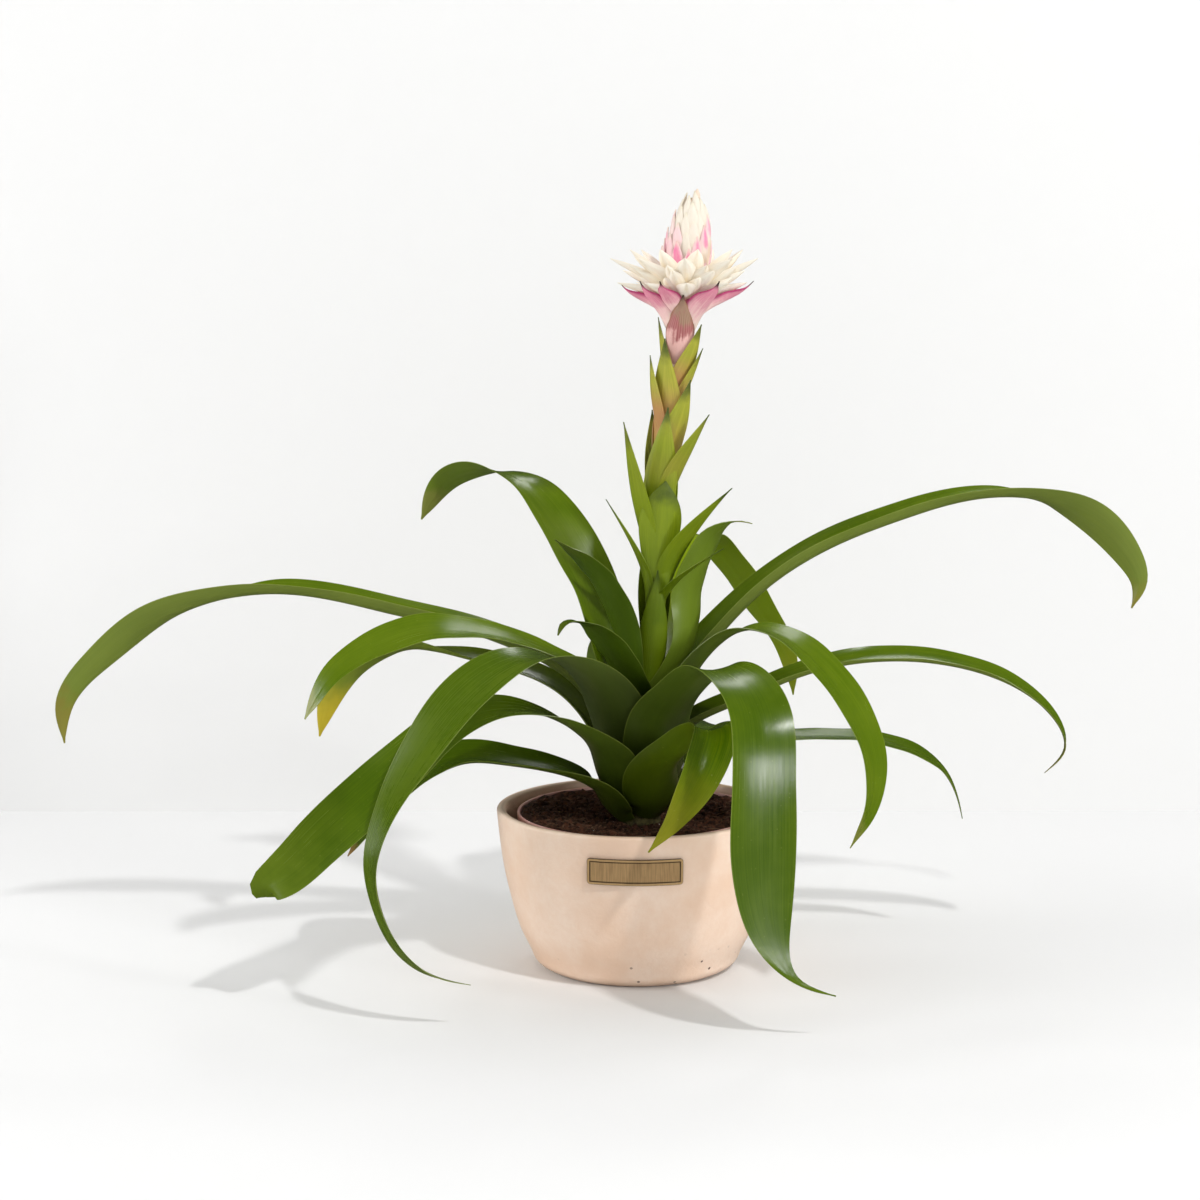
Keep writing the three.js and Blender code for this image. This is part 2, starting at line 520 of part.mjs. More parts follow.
// All solids joined into one.
function joined(bodies) {
  return bodies.reduce((whole, body) => whole.add(body));
}

// The largest body of a solid, without the hollows that joining sealed or the scraps that cutting left.
function whole(body) {
  return body.decompose().reduce((largest, part) => (part.volume() > largest.volume() ? part : largest));
}

// Outer radius of the planter at a height.
const planterRadius = profile(PLANTER.flank.map(([radius, z]) => [z, radius]));

function planterGeometry() {
  const { height, wall, floor, rimRound, flankSteps, cove } = PLANTER;
  const flankTop = height - rimRound;
  const outerTop = planterRadius(flankTop);
  const innerTop = outerTop - wall;
  const floorRadius = planterRadius(floor) - wall;
  const bevel = PLANTER.bevelShare * rimRound;
  const level = (i) => flankTop * (i / flankSteps) ** PLANTER.footCrowding;
  const outline = [[0, 0]];
  for (let i = 0; i <= flankSteps; i++) {
    outline.push([planterRadius(level(i)), level(i)]);
  }
  outline.push([outerTop - bevel, height - bevel], [outerTop - rimRound, height]);
  outline.push([innerTop + rimRound, height], [innerTop + bevel, height - bevel]);
  for (let i = flankSteps; level(i) > floor + cove.rise; i -= 2) {
    outline.push([planterRadius(level(i)) - wall, level(i)]);
  }
  outline.push([floorRadius + cove.flare, floor + cove.rise], [floorRadius - cove.run, floor], [0, floor]);
  return turned(outline, PLANTER.segments);
}

// Plain plaque with rounded corners, bent to the planter's front, from columns of four corners.
function plateGeometry() {
  const { corner, thickness, steps } = PLATE;
  const half = PLATE.width / 2;
  const straight = half - corner;
  const start = half - PLATE.cornerShare * corner;
  const places = [-half, -start];
  for (let i = 0; i <= steps; i++) {
    places.push(THREE.MathUtils.lerp(-straight, straight, i / steps));
  }
  places.push(start, half);
  const points = [];
  places.forEach((x) => {
    const past = Math.max(Math.abs(x) - straight, 0);
    const edge = PLATE.height / 2 - corner + Math.sqrt(Math.max(corner ** 2 - past ** 2, 0));
    for (const [up, out] of [[-edge, 0], [-edge, thickness], [edge, thickness], [edge, 0]]) {
      const z = PLATE.centreZ + up;
      const radius = planterRadius(z) + GAP + out;
      const angle = (PLATE.centreX + x) / radius;
      points.push(new THREE.Vector3(radius * Math.sin(angle), -radius * Math.cos(angle), z));
    }
  });
  const last = points.length - 4;
  const triangles = [[0, 1, 2], [0, 2, 3], [last, last + 2, last + 1], [last, last + 3, last + 2]];
  for (let i = 0; i < last; i += 4) {
    for (let k = 0; k < 4; k++) {
      const next = (k + 1) % 4;
      triangles.push([i + k, i + 4 + k, i + 4 + next], [i + k, i + 4 + next, i + next]);
    }
  }
  return closedGeometry(points, triangles);
}

const potLipBottom = POT.top - POT.lip.height;

// Outer radius of the nursery pot's tapered wall at a height.
function potRadius(z) {
  return THREE.MathUtils.mapLinear(z, POT.bottom, potLipBottom, POT.baseRadius, POT.shoulderRadius);
}

function nurseryPotGeometry() {
  const { rimRadius, shoulderRadius, baseRadius, bottom, top, wall, lip } = POT;
  const inner = rimRadius - wall;
  const outline = [
    [0, bottom],
    [baseRadius, bottom],
    [shoulderRadius, potLipBottom - lip.step],
    [rimRadius - lip.taper, potLipBottom],
    [rimRadius, top - lip.round],
    [rimRadius - lip.round, top],
    [inner + lip.round / 2, top],
    [inner, top - lip.round],
    [inner - lip.taper, potLipBottom],
    [shoulderRadius - wall, potLipBottom - 2 * lip.step],
    [baseRadius - wall, bottom + wall],
    [0, bottom + wall],
  ];
  const holes = [];
  for (let i = 0; i < POT.holes; i++) {
    const angle = 2 * Math.PI * (i + 0.5) / POT.holes;
    const drill = new THREE.CylinderGeometry(POT.holeRadius, POT.holeRadius, 4 * wall, POT.holeSides);
    drill.rotateX(Math.PI / 2);
    drill.translate(POT.holeCircle * Math.cos(angle), POT.holeCircle * Math.sin(angle), bottom);
    holes.push(solid(drill));
  }
  return geometryOf(solid(turned(outline, POT.segments)).subtract(joined(holes)));
}

// Height of the rough soil at a place: dished towards the crown, with small lumps.
function soilHeight(x, y) {
  const reach = (Math.hypot(x, y) / POT.rimRadius) ** SOIL.hollow;
  const lumps = Math.sin(0.21 * x + 1.3) * Math.cos(0.17 * y - 0.4)
    + 0.6 * Math.sin(0.37 * y + 0.23 * x)
    + 0.4 * Math.cos(0.52 * x - 0.31 * y + 2.1);
  return THREE.MathUtils.lerp(SOIL.centre, SOIL.edge, reach) + SOIL.rough * lumps;
}

function soilGeometry() {
  const floor = POT.bottom + POT.wall + GAP;
  const shoulder = potLipBottom - 2 * POT.lip.step - SOIL.belowStep;
  const clear = POT.wall + 2 * GAP;
  const edgeRadius = POT.rimRadius - POT.lip.taper - clear;
  const outline = [
    [0, floor],
    [POT.baseRadius - clear, floor],
    [potRadius(shoulder) - clear, shoulder],
    [edgeRadius - 2 * GAP, potLipBottom + GAP],
  ];
  for (let ring = 0; ring <= SOIL.rings; ring++) {
    outline.push([edgeRadius * (1 - ring / SOIL.rings), SOIL.edge]);
  }
  const geometry = turned(outline, SOIL.segments);
  const places = geometry.getAttribute("position");
  for (let i = 0; i < places.count; i++) {
    if (places.getZ(i) === SOIL.edge) {
      places.setZ(i, soilHeight(places.getX(i), places.getY(i)));
    }
  }
  const hole = crownOutline(GAP).map(([radius, z]) => [radius, z - GAP]);
  return geometryOf(solid(geometry).subtract(solid(turned(hole, CROWN.sides).translate(CROWN.x, 0, 0))));
}

// Profile of the crown, widened by a clearance.
function crownOutline(clearance) {
  const { bottom, collar, top, foot } = CROWN;
  const radius = CROWN.radius + clearance;
  return [
    [0, bottom],
    [foot.share * radius, bottom + foot.rise],
    [radius, bottom + foot.height],
    [radius, collar],
    [crownRadius(top) + clearance, top],
    [0, top],
  ];
}

function crownGeometry() {
  return turned(crownOutline(0), CROWN.sides).translate(CROWN.x, 0, 0);
}

// X of the scape's centre line at a height.
const scapeX = profile(SCAPE.line.map(([x, z]) => [z, x]));

// Frames of a bract that clasps the scape at its base and points up and outwards to its tip.
function bractFrames(bract, stations) {
  const azimuth = bract.azimuth * DEGREE;
  const out = new THREE.Vector3(Math.cos(azimuth), Math.sin(azimuth), 0);
  const side = new THREE.Vector3(Math.sin(azimuth), -Math.cos(azimuth), 0);
  const away = profile([[0, bract.seat], [BRACT.bellyShare, bract.seat + bract.belly], [1, bract.reach]]);
  const outline = profile(bract.outline);
  const placeAt = (share) => {
    const z = THREE.MathUtils.lerp(bract.base, bract.tip, share);
    return new THREE.Vector3(scapeX(z), 0, z).addScaledVector(out, away(share));
  };
  const frames = [];
  for (let s = 0; s < stations; s++) {
    const share = s / (stations - 1);
    const place = placeAt(share);
    const ahead = placeAt(Math.min(share + BRACT.tangentShare, 1));
    const along = ahead.sub(placeAt(Math.max(share - BRACT.tangentShare, 0))).normalize();
    const level = side.clone().addScaledVector(along, -side.dot(along)).normalize();
    const halfWidth = Math.max(bract.halfWidth * outline(share), BRACT.pointHalfWidth);
    const curl = bract.openness * away(share) + BRACT.curl;
    const half = Math.min(halfWidth / curl, bract.clasp * DEGREE);
    frames.push({ place, ...rolled(level, level.clone().cross(along), bract.roll), halfWidth, half });
  }
  return frames;
}

// Keeled pointed scale with a base, a middle of four corners and a tip, cupped towards the scape.
function scaleSolid(scale) {
  const [base, middle, tip] = bractFrames(scale, 3);
  const off = (sideways, inwards) => middle.place.clone()
    .addScaledVector(middle.side, sideways)
    .addScaledVector(middle.upper, inwards);
  const points = [
    base.place,
    tip.place,
    off(-middle.halfWidth, scale.cup),
    off(middle.halfWidth, scale.cup),
    off(0, -scale.thickness / 2),
    off(0, scale.thickness / 2),
  ];
  const triangles = [
    [0, 2, 4], [0, 4, 3], [0, 3, 5], [0, 5, 2], [1, 4, 2], [1, 3, 4], [1, 5, 3], [1, 2, 5],
  ];
  return solid(closedGeometry(points, triangles));
}

// Tube about the scape's centre line with a radius for each of its levels.
function scapeTube(levels, sides) {
  const points = [];
  const triangles = [];
  levels.forEach(([z, radius]) => {
    for (let k = 0; k < sides; k++) {
      const angle = 2 * Math.PI * k / sides;
      points.push(new THREE.Vector3(scapeX(z) + radius * Math.cos(angle), radius * Math.sin(angle), z));
    }
  });
  const last = levels.length - 1;
  for (let i = 0; i < last; i++) {
    for (let k = 0; k < sides; k++) {
      const next = (k + 1) % sides;
      triangles.push([i * sides + k, i * sides + next, (i + 1) * sides + next]);
      triangles.push([i * sides + k, (i + 1) * sides + next, (i + 1) * sides + k]);
    }
  }
  const foot = points.push(new THREE.Vector3(scapeX(levels[0][0]), 0, levels[0][0])) - 1;
  const top = points.push(new THREE.Vector3(scapeX(levels[last][0]), 0, levels[last][0])) - 1;
  for (let k = 0; k < sides; k++) {
    const next = (k + 1) % sides;
    triangles.push([foot, next, k], [top, last * sides + k, last * sides + next]);
  }
  return closedGeometry(points, triangles);
}

// Frames shifted to a blade's upper side and widened by a clearance. A blade on them that is thicker by two
// clearances covers the first one with that clearance all round.
function grownFrames(frames, by) {
  return frames.map((frame) => ({
    ...frame,
    place: frame.place.clone().addScaledVector(frame.upper, by),
    halfWidth: frame.halfWidth + by,
  }));
}

const headBractFrames = HEAD_BRACTS.map((bract) => {
  return bractFrames({ ...HEAD_BRACT, ...bract }, HEAD_BRACT.stations);
});

// Sleeve round the scape that carries the pink bracts, widened by a clearance.
function sleeveSolid(clearance) {
  const { levels } = HEAD_SLEEVE;
  const last = levels.length - 1;
  return solid(scapeTube(levels.map(([z, radius], i) => {
    const end = i === 0 ? -clearance : i === last ? clearance : 0;
    return [z + end, radius + clearance];
  }), SCAPE.sides));
}

function headBractsGeometry() {
  const levels = HEAD_SLEEVE.boreHeights.map((z) => [z, HEAD_SLEEVE.inner]);
  const bore = solid(scapeTube(levels, SCAPE.sides));
  const blades = headBractFrames.map((frames) => {
    return solid(bladeGeometry(frames, HEAD_BRACT.thickness, HEAD_BRACT.strips));
  });
  return geometryOf(whole(joined([sleeveSolid(0), ...blades]).subtract(bore)));
}

// Room that the pink bracts and their sleeve need, with the clearance round them.
function headBractsRoom() {
  const thickness = HEAD_BRACT.thickness + 2 * GAP;
  const blades = headBractFrames.map((frames) => {
    return solid(bladeGeometry(grownFrames(frames, GAP), thickness, HEAD_BRACT.strips));
  });
  return joined([sleeveSolid(GAP), ...blades]);
}

function stalkGeometry() {
  const levels = [];
  for (let i = 0; i <= SCAPE.levels; i++) {
    levels.push([THREE.MathUtils.lerp(SCAPE.bottom, SCAPE.top, i / SCAPE.levels), SCAPE.radius]);
  }
  const bracts = STALK_BRACTS.map((bract) => {
    const frames = bractFrames({ ...STALK_BRACT, ...bract }, STALK_BRACT.stations);
    return solid(bladeGeometry(frames, STALK_BRACT.thickness, STALK_BRACT.strips));
  });
  const scape = solid(scapeTube(levels, SCAPE.sides));
  return geometryOf(whole(joined(bracts).subtract(headBractsRoom()).add(scape)));
}

// Radius of the head's core at a height.
const coreRadius = profile(HEAD.core);

function flowerHeadGeometry() {
  const pieces = [solid(scapeTube(HEAD.core, HEAD.sides))];
  const [coreTop] = HEAD.core[HEAD.core.length - 1];
  for (let i = 0; i < HEAD.scales; i++) {
    const share = i / (HEAD.scales - 1);
    const base = THREE.MathUtils.lerp(HEAD.firstScale, HEAD.lastScale, share);
    const tip = Math.min(base + HEAD.scaleLength, HEAD.top);
    const seat = Math.max(coreRadius(base) - HEAD.seatDepth, HEAD.seatDepth);
    const reach = coreRadius(Math.min(tip, coreTop)) + HEAD.tipClearance;
    const halfWidth = HEAD.scaleHalfWidth * (1 - HEAD.narrowing * share);
    const azimuth = i * HEAD.goldenAngle;
    pieces.push(scaleSolid({ ...SCALE, base, tip, seat, reach, azimuth, halfWidth }));
  }
  for (const [fan, stretch] of SPIKE_FANS) {
    for (const spike of SPIKES) {
      const azimuth = fan + spike.turn;
      const reach = SPIKE.reach * stretch * spike.reach;
      pieces.push(scaleSolid({ ...SPIKE, ...spike, azimuth, reach }));
    }
  }
  return geometryOf(whole(joined(pieces).subtract(headBractsRoom())));
}

function material(color, roughness, metalness = 0) {
  return new THREE.MeshStandardMaterial({ color, roughness, metalness });
}

const LEAF_GREEN = material(0x3f6b1c, 0.4);
const LOOKS = {
  planter: material(0xe6c7ae, 0.7),
  plate: material(0xa98a5a, 0.4, 0.8),
  nurseryPot: material(0xc99a92, 0.55),
  soil: material(0x3a2318, 0.95),
  crown: material(0x6b5a34, 0.8),
  stalk: material(0x8ea32a, 0.45),
  headBracts: material(0xd77fa0, 0.5),
  flowerHead: material(0xf3e3d2, 0.5),
};

function named(name, geometry, look) {
  const mesh = new THREE.Mesh(geometry, look);
  mesh.name = name;
  return mesh;
}

const plant = new THREE.Group();
plant.add(
  named("planter", planterGeometry(), LOOKS.planter),
  named("plate", plateGeometry(), LOOKS.plate),
  named("nursery_pot", nurseryPotGeometry(), LOOKS.nurseryPot),
  named("soil", soilGeometry(), LOOKS.soil),
  named("crown", crownGeometry(), LOOKS.crown),
  named("flower_stalk", stalkGeometry(), LOOKS.stalk),
  named("head_bracts", headBractsGeometry(), LOOKS.headBracts),
  named("flower_head", flowerHeadGeometry(), LOOKS.flowerHead),
);
LEAVES.forEach((leaf, order) => {
  const frames = leafFrames(leaf, order);
  plant.add(named(leaf.name, bladeGeometry(frames, BLADE.thickness, BLADE.strips), LEAF_GREEN));
});

export default plant;
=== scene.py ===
"""Potted guzmania in bloom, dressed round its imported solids.

The scene is in metres, +Z up, and the front faces -Y. Sizes below are in millimetres and become
metres where a mesh is made.
"""

import logging
import math
from dataclasses import dataclass
from enum import Enum
from typing import Callable

import bmesh
import bpy
import numpy as np
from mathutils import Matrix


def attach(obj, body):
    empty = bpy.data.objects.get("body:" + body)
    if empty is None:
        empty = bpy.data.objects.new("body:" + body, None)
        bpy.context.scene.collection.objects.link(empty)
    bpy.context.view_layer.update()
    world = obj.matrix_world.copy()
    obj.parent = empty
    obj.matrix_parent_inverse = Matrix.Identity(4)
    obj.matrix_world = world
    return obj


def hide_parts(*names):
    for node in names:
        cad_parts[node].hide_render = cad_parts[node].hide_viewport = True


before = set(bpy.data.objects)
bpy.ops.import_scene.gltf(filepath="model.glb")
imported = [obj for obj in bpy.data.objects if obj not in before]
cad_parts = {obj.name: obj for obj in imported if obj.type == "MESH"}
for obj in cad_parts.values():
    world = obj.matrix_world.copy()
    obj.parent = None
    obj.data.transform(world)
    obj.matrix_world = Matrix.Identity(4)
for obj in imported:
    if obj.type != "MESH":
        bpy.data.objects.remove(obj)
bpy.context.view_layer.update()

MM = 0.001
GAP = 0.3
GOLDEN_ANGLE = 137.5
# Strength of the petals' emission: painted light, a faint glow in their own colour that stands in for light
# shining through them.
PAINTED_PETAL_GLOW = 0.08
CURVE_SAMPLES = 1200
BODY = "root"
WELD = 1e-6
VEIN_DEPTH = 0.0002
log = logging.getLogger("guzmania")

Points = tuple[tuple[float, ...], ...]
Colour = tuple[float, float, float]
Array, Thing = np.ndarray, bpy.types.Object
Tree, Socket, Material = bpy.types.NodeTree, bpy.types.NodeSocket, bpy.types.Material


class Tone(Enum):
    """How a leaf is coloured."""

    DEEP = "deep"
    SATIN = "satin"
    SPECKLED = "speckled"
    DARK = "dark"
    FRESH = "fresh"
    PALE = "pale"
    # Painted backlight: a leaf coloured brighter to stand in for light shining through it.
    BACKLIT = "backlit"
    YELLOWING = "yellowing"
    DRY_TIP = "dry_tip"


PLAIN_OUTLINE: Points = (
    (0, 0.72), (0.06, 1.02), (0.14, 1.1), (0.28, 0.93), (0.45, 0.94), (0.62, 1), (0.78, 0.88),
    (0.9, 0.54), (0.96, 0.27), (1, 0))
PLAIN_CHANNEL: Points = ((0, 30), (0.2, 26), (0.45, 16), (0.7, 11), (1, 6))
UNROLLED: Points = ((0, 0), (1, 0))
BRACT_OUTLINE: Points = ((0, 0.8), (0.25, 1), (0.55, 0.8), (0.82, 0.34), (1, 0))
PLUMP_OUTLINE: Points = ((0, 0.6), (0.35, 0.9), (0.6, 1), (0.8, 0.72), (0.93, 0.32), (1, 0))
BOAT_OUTLINE: Points = (
    (0, 0.62), (0.25, 0.92), (0.5, 1), (0.68, 0.86), (0.8, 0.5), (0.88, 0.2), (0.94, 0.08), (1, 0.03))
KITE_OUTLINE: Points = (
    (0, 0.65), (0.25, 0.92), (0.45, 1), (0.62, 0.78), (0.8, 0.36), (0.92, 0.1), (1, 0.02))
LANCE_OUTLINE: Points = ((0, 0.4), (0.3, 0.6), (0.55, 0.9), (0.72, 1), (0.86, 0.72), (0.95, 0.3), (1, 0))


def footed(foot: float, above: float, widest: float) -> Points:
    """The plain outline with other widths near its foot."""
    return ((0, foot), (0.06, above), (0.14, widest), *PLAIN_OUTLINE[3:])


@dataclass(frozen=True)
class Blade:
    """One strap leaf: its node, half width, directions round the crown, and its midrib's route."""

    node: str
    half_width: float
    azimuth: float
    heading: float
    tone: Tone
    route: Points
    roll: Points = UNROLLED
    outline: Points = PLAIN_OUTLINE
    channel: Points = PLAIN_CHANNEL


@dataclass(frozen=True)
class Bract:
    """One bract on the scape: where it clasps and ends, where it faces, and how far it stands out.

    Its belly and openness, where they are given, take the place of those of its kind.
    """

    base: float
    tip: float
    azimuth: float
    reach: float
    half_width: float
    belly: float | None = None
    openness: float | None = None
    roll: float = 0
    outline: Points | None = None


@dataclass(frozen=True)
class Hold:
    """How one kind of bract sits on the scape: its distance there, belly, widest half angle and openness.

    Below 1, hook is the share of its reach from which its tip turns upwards.
    """

    seat: float
    belly: float
    clasp: float
    openness: float
    outline: Points = BRACT_OUTLINE
    hook: float = 1


STALK_HOLD = Hold(3.8, 4, 100, 1.5)
HEAD_HOLD = Hold(5.4, 9, 75, 0.15, BOAT_OUTLINE, 0.86)
SPIKE_HOLD = Hold(5, 11, 40, 1.2, PLUMP_OUTLINE)


BLADES = (
    Blade("leaf_01", 17, 212, 184, Tone.DRY_TIP,
          route=((-22, -20, 108), (-45, -23, 121), (-75, -20, 127), (-102, -14, 128), (-126, -8, 118),
            (-151, -3, 96), (-174, 0, 65)),
          roll=((0, 0), (0.3, -8), (0.6, -18), (1, -20)),
          channel=((0, 40), (0.3, 38), (0.6, 30), (1, 12))),
    Blade("leaf_02", 13.5, 300, 290, Tone.SPECKLED,
          route=((10, -31, 117), (22, -49, 138), (34, -67, 153), (42, -85, 158), (38, -99, 145),
            (27, -106, 123), (16, -108, 107), (5, -110, 94)),
          outline=((0, 0.9), (0.08, 1.35), (0.2, 1.4), (0.35, 1.15), (0.52, 1), (0.72, 0.9), (0.88, 0.5),
            (1, 0)),
          channel=((0, 40), (0.5, 42), (0.7, 22), (1, 8))),
    Blade("leaf_03", 16, 62, 62, Tone.DEEP,
          route=((22, 40, 112), (42, 86, 124), (60, 128, 120), (76, 168, 94), (86, 196, 60))),
    Blade("leaf_04", 18, 226, 206, Tone.DEEP,
          route=((-16, -27, 128), (-31, -42, 147), (-54, -55, 162), (-79, -66, 167), (-104, -76, 161),
            (-129, -87, 143), (-159, -98, 117), (-182, -103, 96), (-203, -107, 78), (-210, -105, 72),
            (-210, -101, 66)),
          roll=((0, 0), (0.2, 0), (0.4, -12), (0.6, -38), (0.8, -50), (1, -50)),
          outline=((0, 0.72), (0.06, 1.02), (0.14, 1.15), (0.28, 0.95), (0.45, 0.86), (0.62, 0.87),
            (0.8, 0.88), (0.9, 0.78), (0.96, 0.6), (1, 0.3))),
    Blade("leaf_05", 20, 296, 296, Tone.DEEP,
          route=((15, -33, 155), (27, -53, 176), (40, -79, 192), (55, -106, 191), (65, -130, 175),
            (66, -145, 143), (66, -152, 98), (70, -156, 62), (84, -158, 35), (106, -158, 26)),
          outline=((0, 0.72), (0.06, 1.02), (0.14, 1.1), (0.28, 0.93), (0.45, 0.94), (0.62, 1), (0.74, 1),
            (0.8, 0.87), (0.85, 0.65), (0.895, 0.35), (0.934, 0.12), (0.97, 0.06), (1, 0))),
    Blade("leaf_06", 16, 88, 86, Tone.DEEP,
          route=((4, 42, 136), (9, 95, 158), (13, 150, 152), (16, 210, 116), (18, 250, 76))),
    Blade("leaf_07", 9, 22, 12, Tone.DEEP,
          route=((32, 11, 117), (63, 16, 131), (99, 21, 135), (130, 26, 134), (162, 32, 127),
            (186, 36, 114), (197, 38, 97), (202, 40, 79)),
          roll=((0, 0), (0.35, 10), (0.6, 16), (1, 25))),
    Blade("leaf_08", 14, 162, 170, Tone.YELLOWING,
          route=((-28.5, 14, 146), (-50, 22, 166), (-78, 24, 177), (-110, 26, 184), (-141, 28, 188),
            (-165, 28, 182), (-183, 28, 163), (-193, 28, 133)),
          roll=((0, 0), (0.4, -10), (0.6, 10), (0.8, 50), (1, 60)),
          outline=footed(0.68, 0.97, 1.07),
          channel=((0, 40), (0.3, 34), (0.6, 24), (1, 8))),
    Blade("leaf_09", 19.5, 240, 230, Tone.SATIN,
          route=((-16, -31, 163), (-29, -49, 184), (-46, -67, 196), (-70, -88, 198), (-95, -104, 183),
            (-118, -118, 156), (-138, -126, 122), (-147, -130, 92), (-144, -132, 68), (-134, -134, 46),
            (-117, -136, 32), (-93, -138, 26)),
          roll=((0, 0), (0.3, 0), (0.5, 0), (0.68, 28), (0.8, 30), (0.9, 15), (1, 0)),
          outline=((0, 0.72), (0.06, 1.02), (0.14, 1.1), (0.28, 0.93), (0.45, 0.99), (0.6, 1.02),
            (0.7, 0.9), (0.8, 0.66), (0.88, 0.45), (0.95, 0.22), (1, 0))),
    Blade("leaf_10", 18, 173, 178, Tone.FRESH,
          route=((-33, 10, 164), (-70, 10, 189), (-106, 10, 202), (-148, 10, 212), (-177, 10, 219),
            (-216, 9, 224), (-256, 8, 219), (-294, 6, 205), (-322, 4, 183), (-342, 2, 157),
            (-343, 2, 134)),
          roll=((0, 0), (0.48, 0), (0.6, 4), (0.72, 22), (0.85, 40), (1, 50)),
          outline=footed(0.5, 0.7, 0.93),
          channel=((0, 64), (0.25, 62), (0.5, 56), (0.7, 30), (1, 12))),
    Blade("leaf_11", 14, 2, 8, Tone.FRESH,
          route=((28, 4, 141), (59, 8, 157), (89, 12, 170), (120, 16, 179), (150, 20, 182), (181, 24, 180),
            (211, 27, 173), (235, 30, 162), (253, 32, 147), (263, 33, 125), (251, 34, 109)),
          roll=((0, 0), (0.4, 6), (0.7, 12), (1, 20)),
          channel=((0, 50), (0.3, 48), (0.6, 40), (0.8, 24), (1, 12))),
    Blade("leaf_12", 15, 93, 98, Tone.DEEP,
          route=((-0.5, 39.5, 150), (-8, 74, 176), (-13, 118, 177), (-19, 160, 148), (-22, 184, 118)),
          outline=footed(0.48, 0.68, 0.92)),
    Blade("leaf_13", 16.5, 335, 325, Tone.PALE,
          route=((34, -20, 183), (49, -28, 201), (66, -42, 210), (87, -58, 206), (106, -72, 191),
            (122, -82, 170), (132, -90, 143), (131, -94, 118), (119, -96, 93))),
    Blade("leaf_14", 15, 196, 195, Tone.PALE,
          route=((-25, -8, 174), (-48, -14, 189), (-72, -22, 200), (-98, -30, 207), (-123, -38, 209),
            (-150, -44, 201), (-175, -50, 186), (-192, -54, 159)),
          roll=((0, 0), (0.3, -8), (0.6, -20), (1, -30)),
          outline=footed(0.68, 0.97, 1.07),
          channel=((0, 40), (0.3, 30), (0.6, 18), (1, 8))),
    Blade("leaf_15", 19, 12, 6, Tone.FRESH,
          route=((31.5, 8.5, 176), (50, 12, 199), (74, 16, 223), (98, 20, 240), (128, 24, 255),
            (161, 28, 267), (192, 32, 276), (235, 36, 279), (273, 40, 267), (299, 42, 243), (307, 42, 225),
            (303, 42, 210)),
          roll=((0, 0), (0.6, 0), (0.72, -8), (0.82, -35), (0.92, -55), (1, -55)),
          channel=((0, 64), (0.25, 62), (0.5, 56), (0.7, 32), (1, 12))),
    Blade("leaf_16", 14, 67, 52, Tone.BACKLIT,
          route=((12.5, 26.5, 182), (20, 39, 212), (32, 58, 238), (43, 78, 251), (55, 92, 238),
            (70, 108, 217), (83, 118, 196), (98, 128, 172), (104, 134, 140)),
          outline=footed(0.68, 0.97, 1.07)),
    Blade("leaf_17", 17.5, 140, 142, Tone.PALE,
          route=((-16.5, 9.5, 186), (-23, 28, 217), (-36, 44, 246), (-52, 60, 270), (-71, 76, 286),
            (-93, 88, 291), (-116, 98, 285), (-135, 104, 258)),
          roll=((0, 0), (0.3, -15), (0.6, -20), (0.78, 15), (1, 35)),
          outline=((0, 0.54), (0.06, 0.77), (0.14, 0.96), (0.28, 0.93), (0.4, 0.93), (0.5, 0.88),
            (0.6, 0.8), (0.69, 0.8), (0.78, 0.88), (0.9, 0.54), (0.96, 0.27), (1, 0))),
    Blade("leaf_18", 15.5, 249, 225, Tone.DARK,
          route=((-7, -24.5, 178), (-17, -39, 199), (-26, -46, 211), (-35, -54, 216), (-43, -60, 215),
            (-46, -62, 209)),
          outline=((0, 0.6), (0.06, 0.86), (0.14, 0.98), (0.28, 0.98), (0.45, 0.98), (0.62, 0.94),
            (0.74, 0.78), (0.82, 0.5), (0.88, 0.3), (0.94, 0.2), (1, 0))),
    Blade("leaf_19", 14, 206, 222, Tone.DARK,
          route=((-9, -9.5, 200), (-19, -14, 228), (-31, -20, 246), (-48, -26, 260)),
          outline=footed(0.63, 0.9, 1.03)),
    Blade("leaf_20", 14.8, 333, 320, Tone.PALE,
          route=((30.5, 3, 199), (32, 5.5, 224), (39, 3, 246), (46, 0, 261), (57, -2, 268),
            (68, -4, 267)),
          outline=((0, 0.53), (0.06, 0.74), (0.14, 0.82), (0.28, 0.76), (0.45, 0.88), (0.62, 1.02),
            (0.72, 1), (0.83, 0.74), (0.89, 0.38), (0.93, 0.15), (0.97, 0.07), (1, 0))),
)

STALK_BRACTS = (
    Bract(170, 240, 275, 11, 10, belly=2.5),
    Bract(200, 257, 310, 58, 5, belly=5),
    Bract(200, 272, 95, 14, 11),
    Bract(204, 282, 198, 33, 8),
    Bract(210, 293, 280, 13, 13, openness=2.6, outline=LANCE_OUTLINE),
    Bract(222, 290, 328, 48, 8.5, belly=11, roll=-20),
    Bract(240, 308, 62, 18, 11),
    Bract(246, 328, 218, 34, 8.5, belly=12),
    Bract(266, 333, 130, 16, 11),
    Bract(262, 336, 262, 14, 11),
    Bract(276, 332, 326, 27, 8.5, belly=7, roll=-10),
    Bract(288, 352, 306, 15, 12),
    Bract(306, 366, 75, 15, 11),
    Bract(308, 376, 236, 17, 11.5),
    Bract(318, 366, 204, 18, 7, belly=7),
    Bract(326, 370, 334, 15, 8),
    Bract(334, 384, 312, 16, 9.5),
    Bract(336, 388, 196, 15, 9),
)

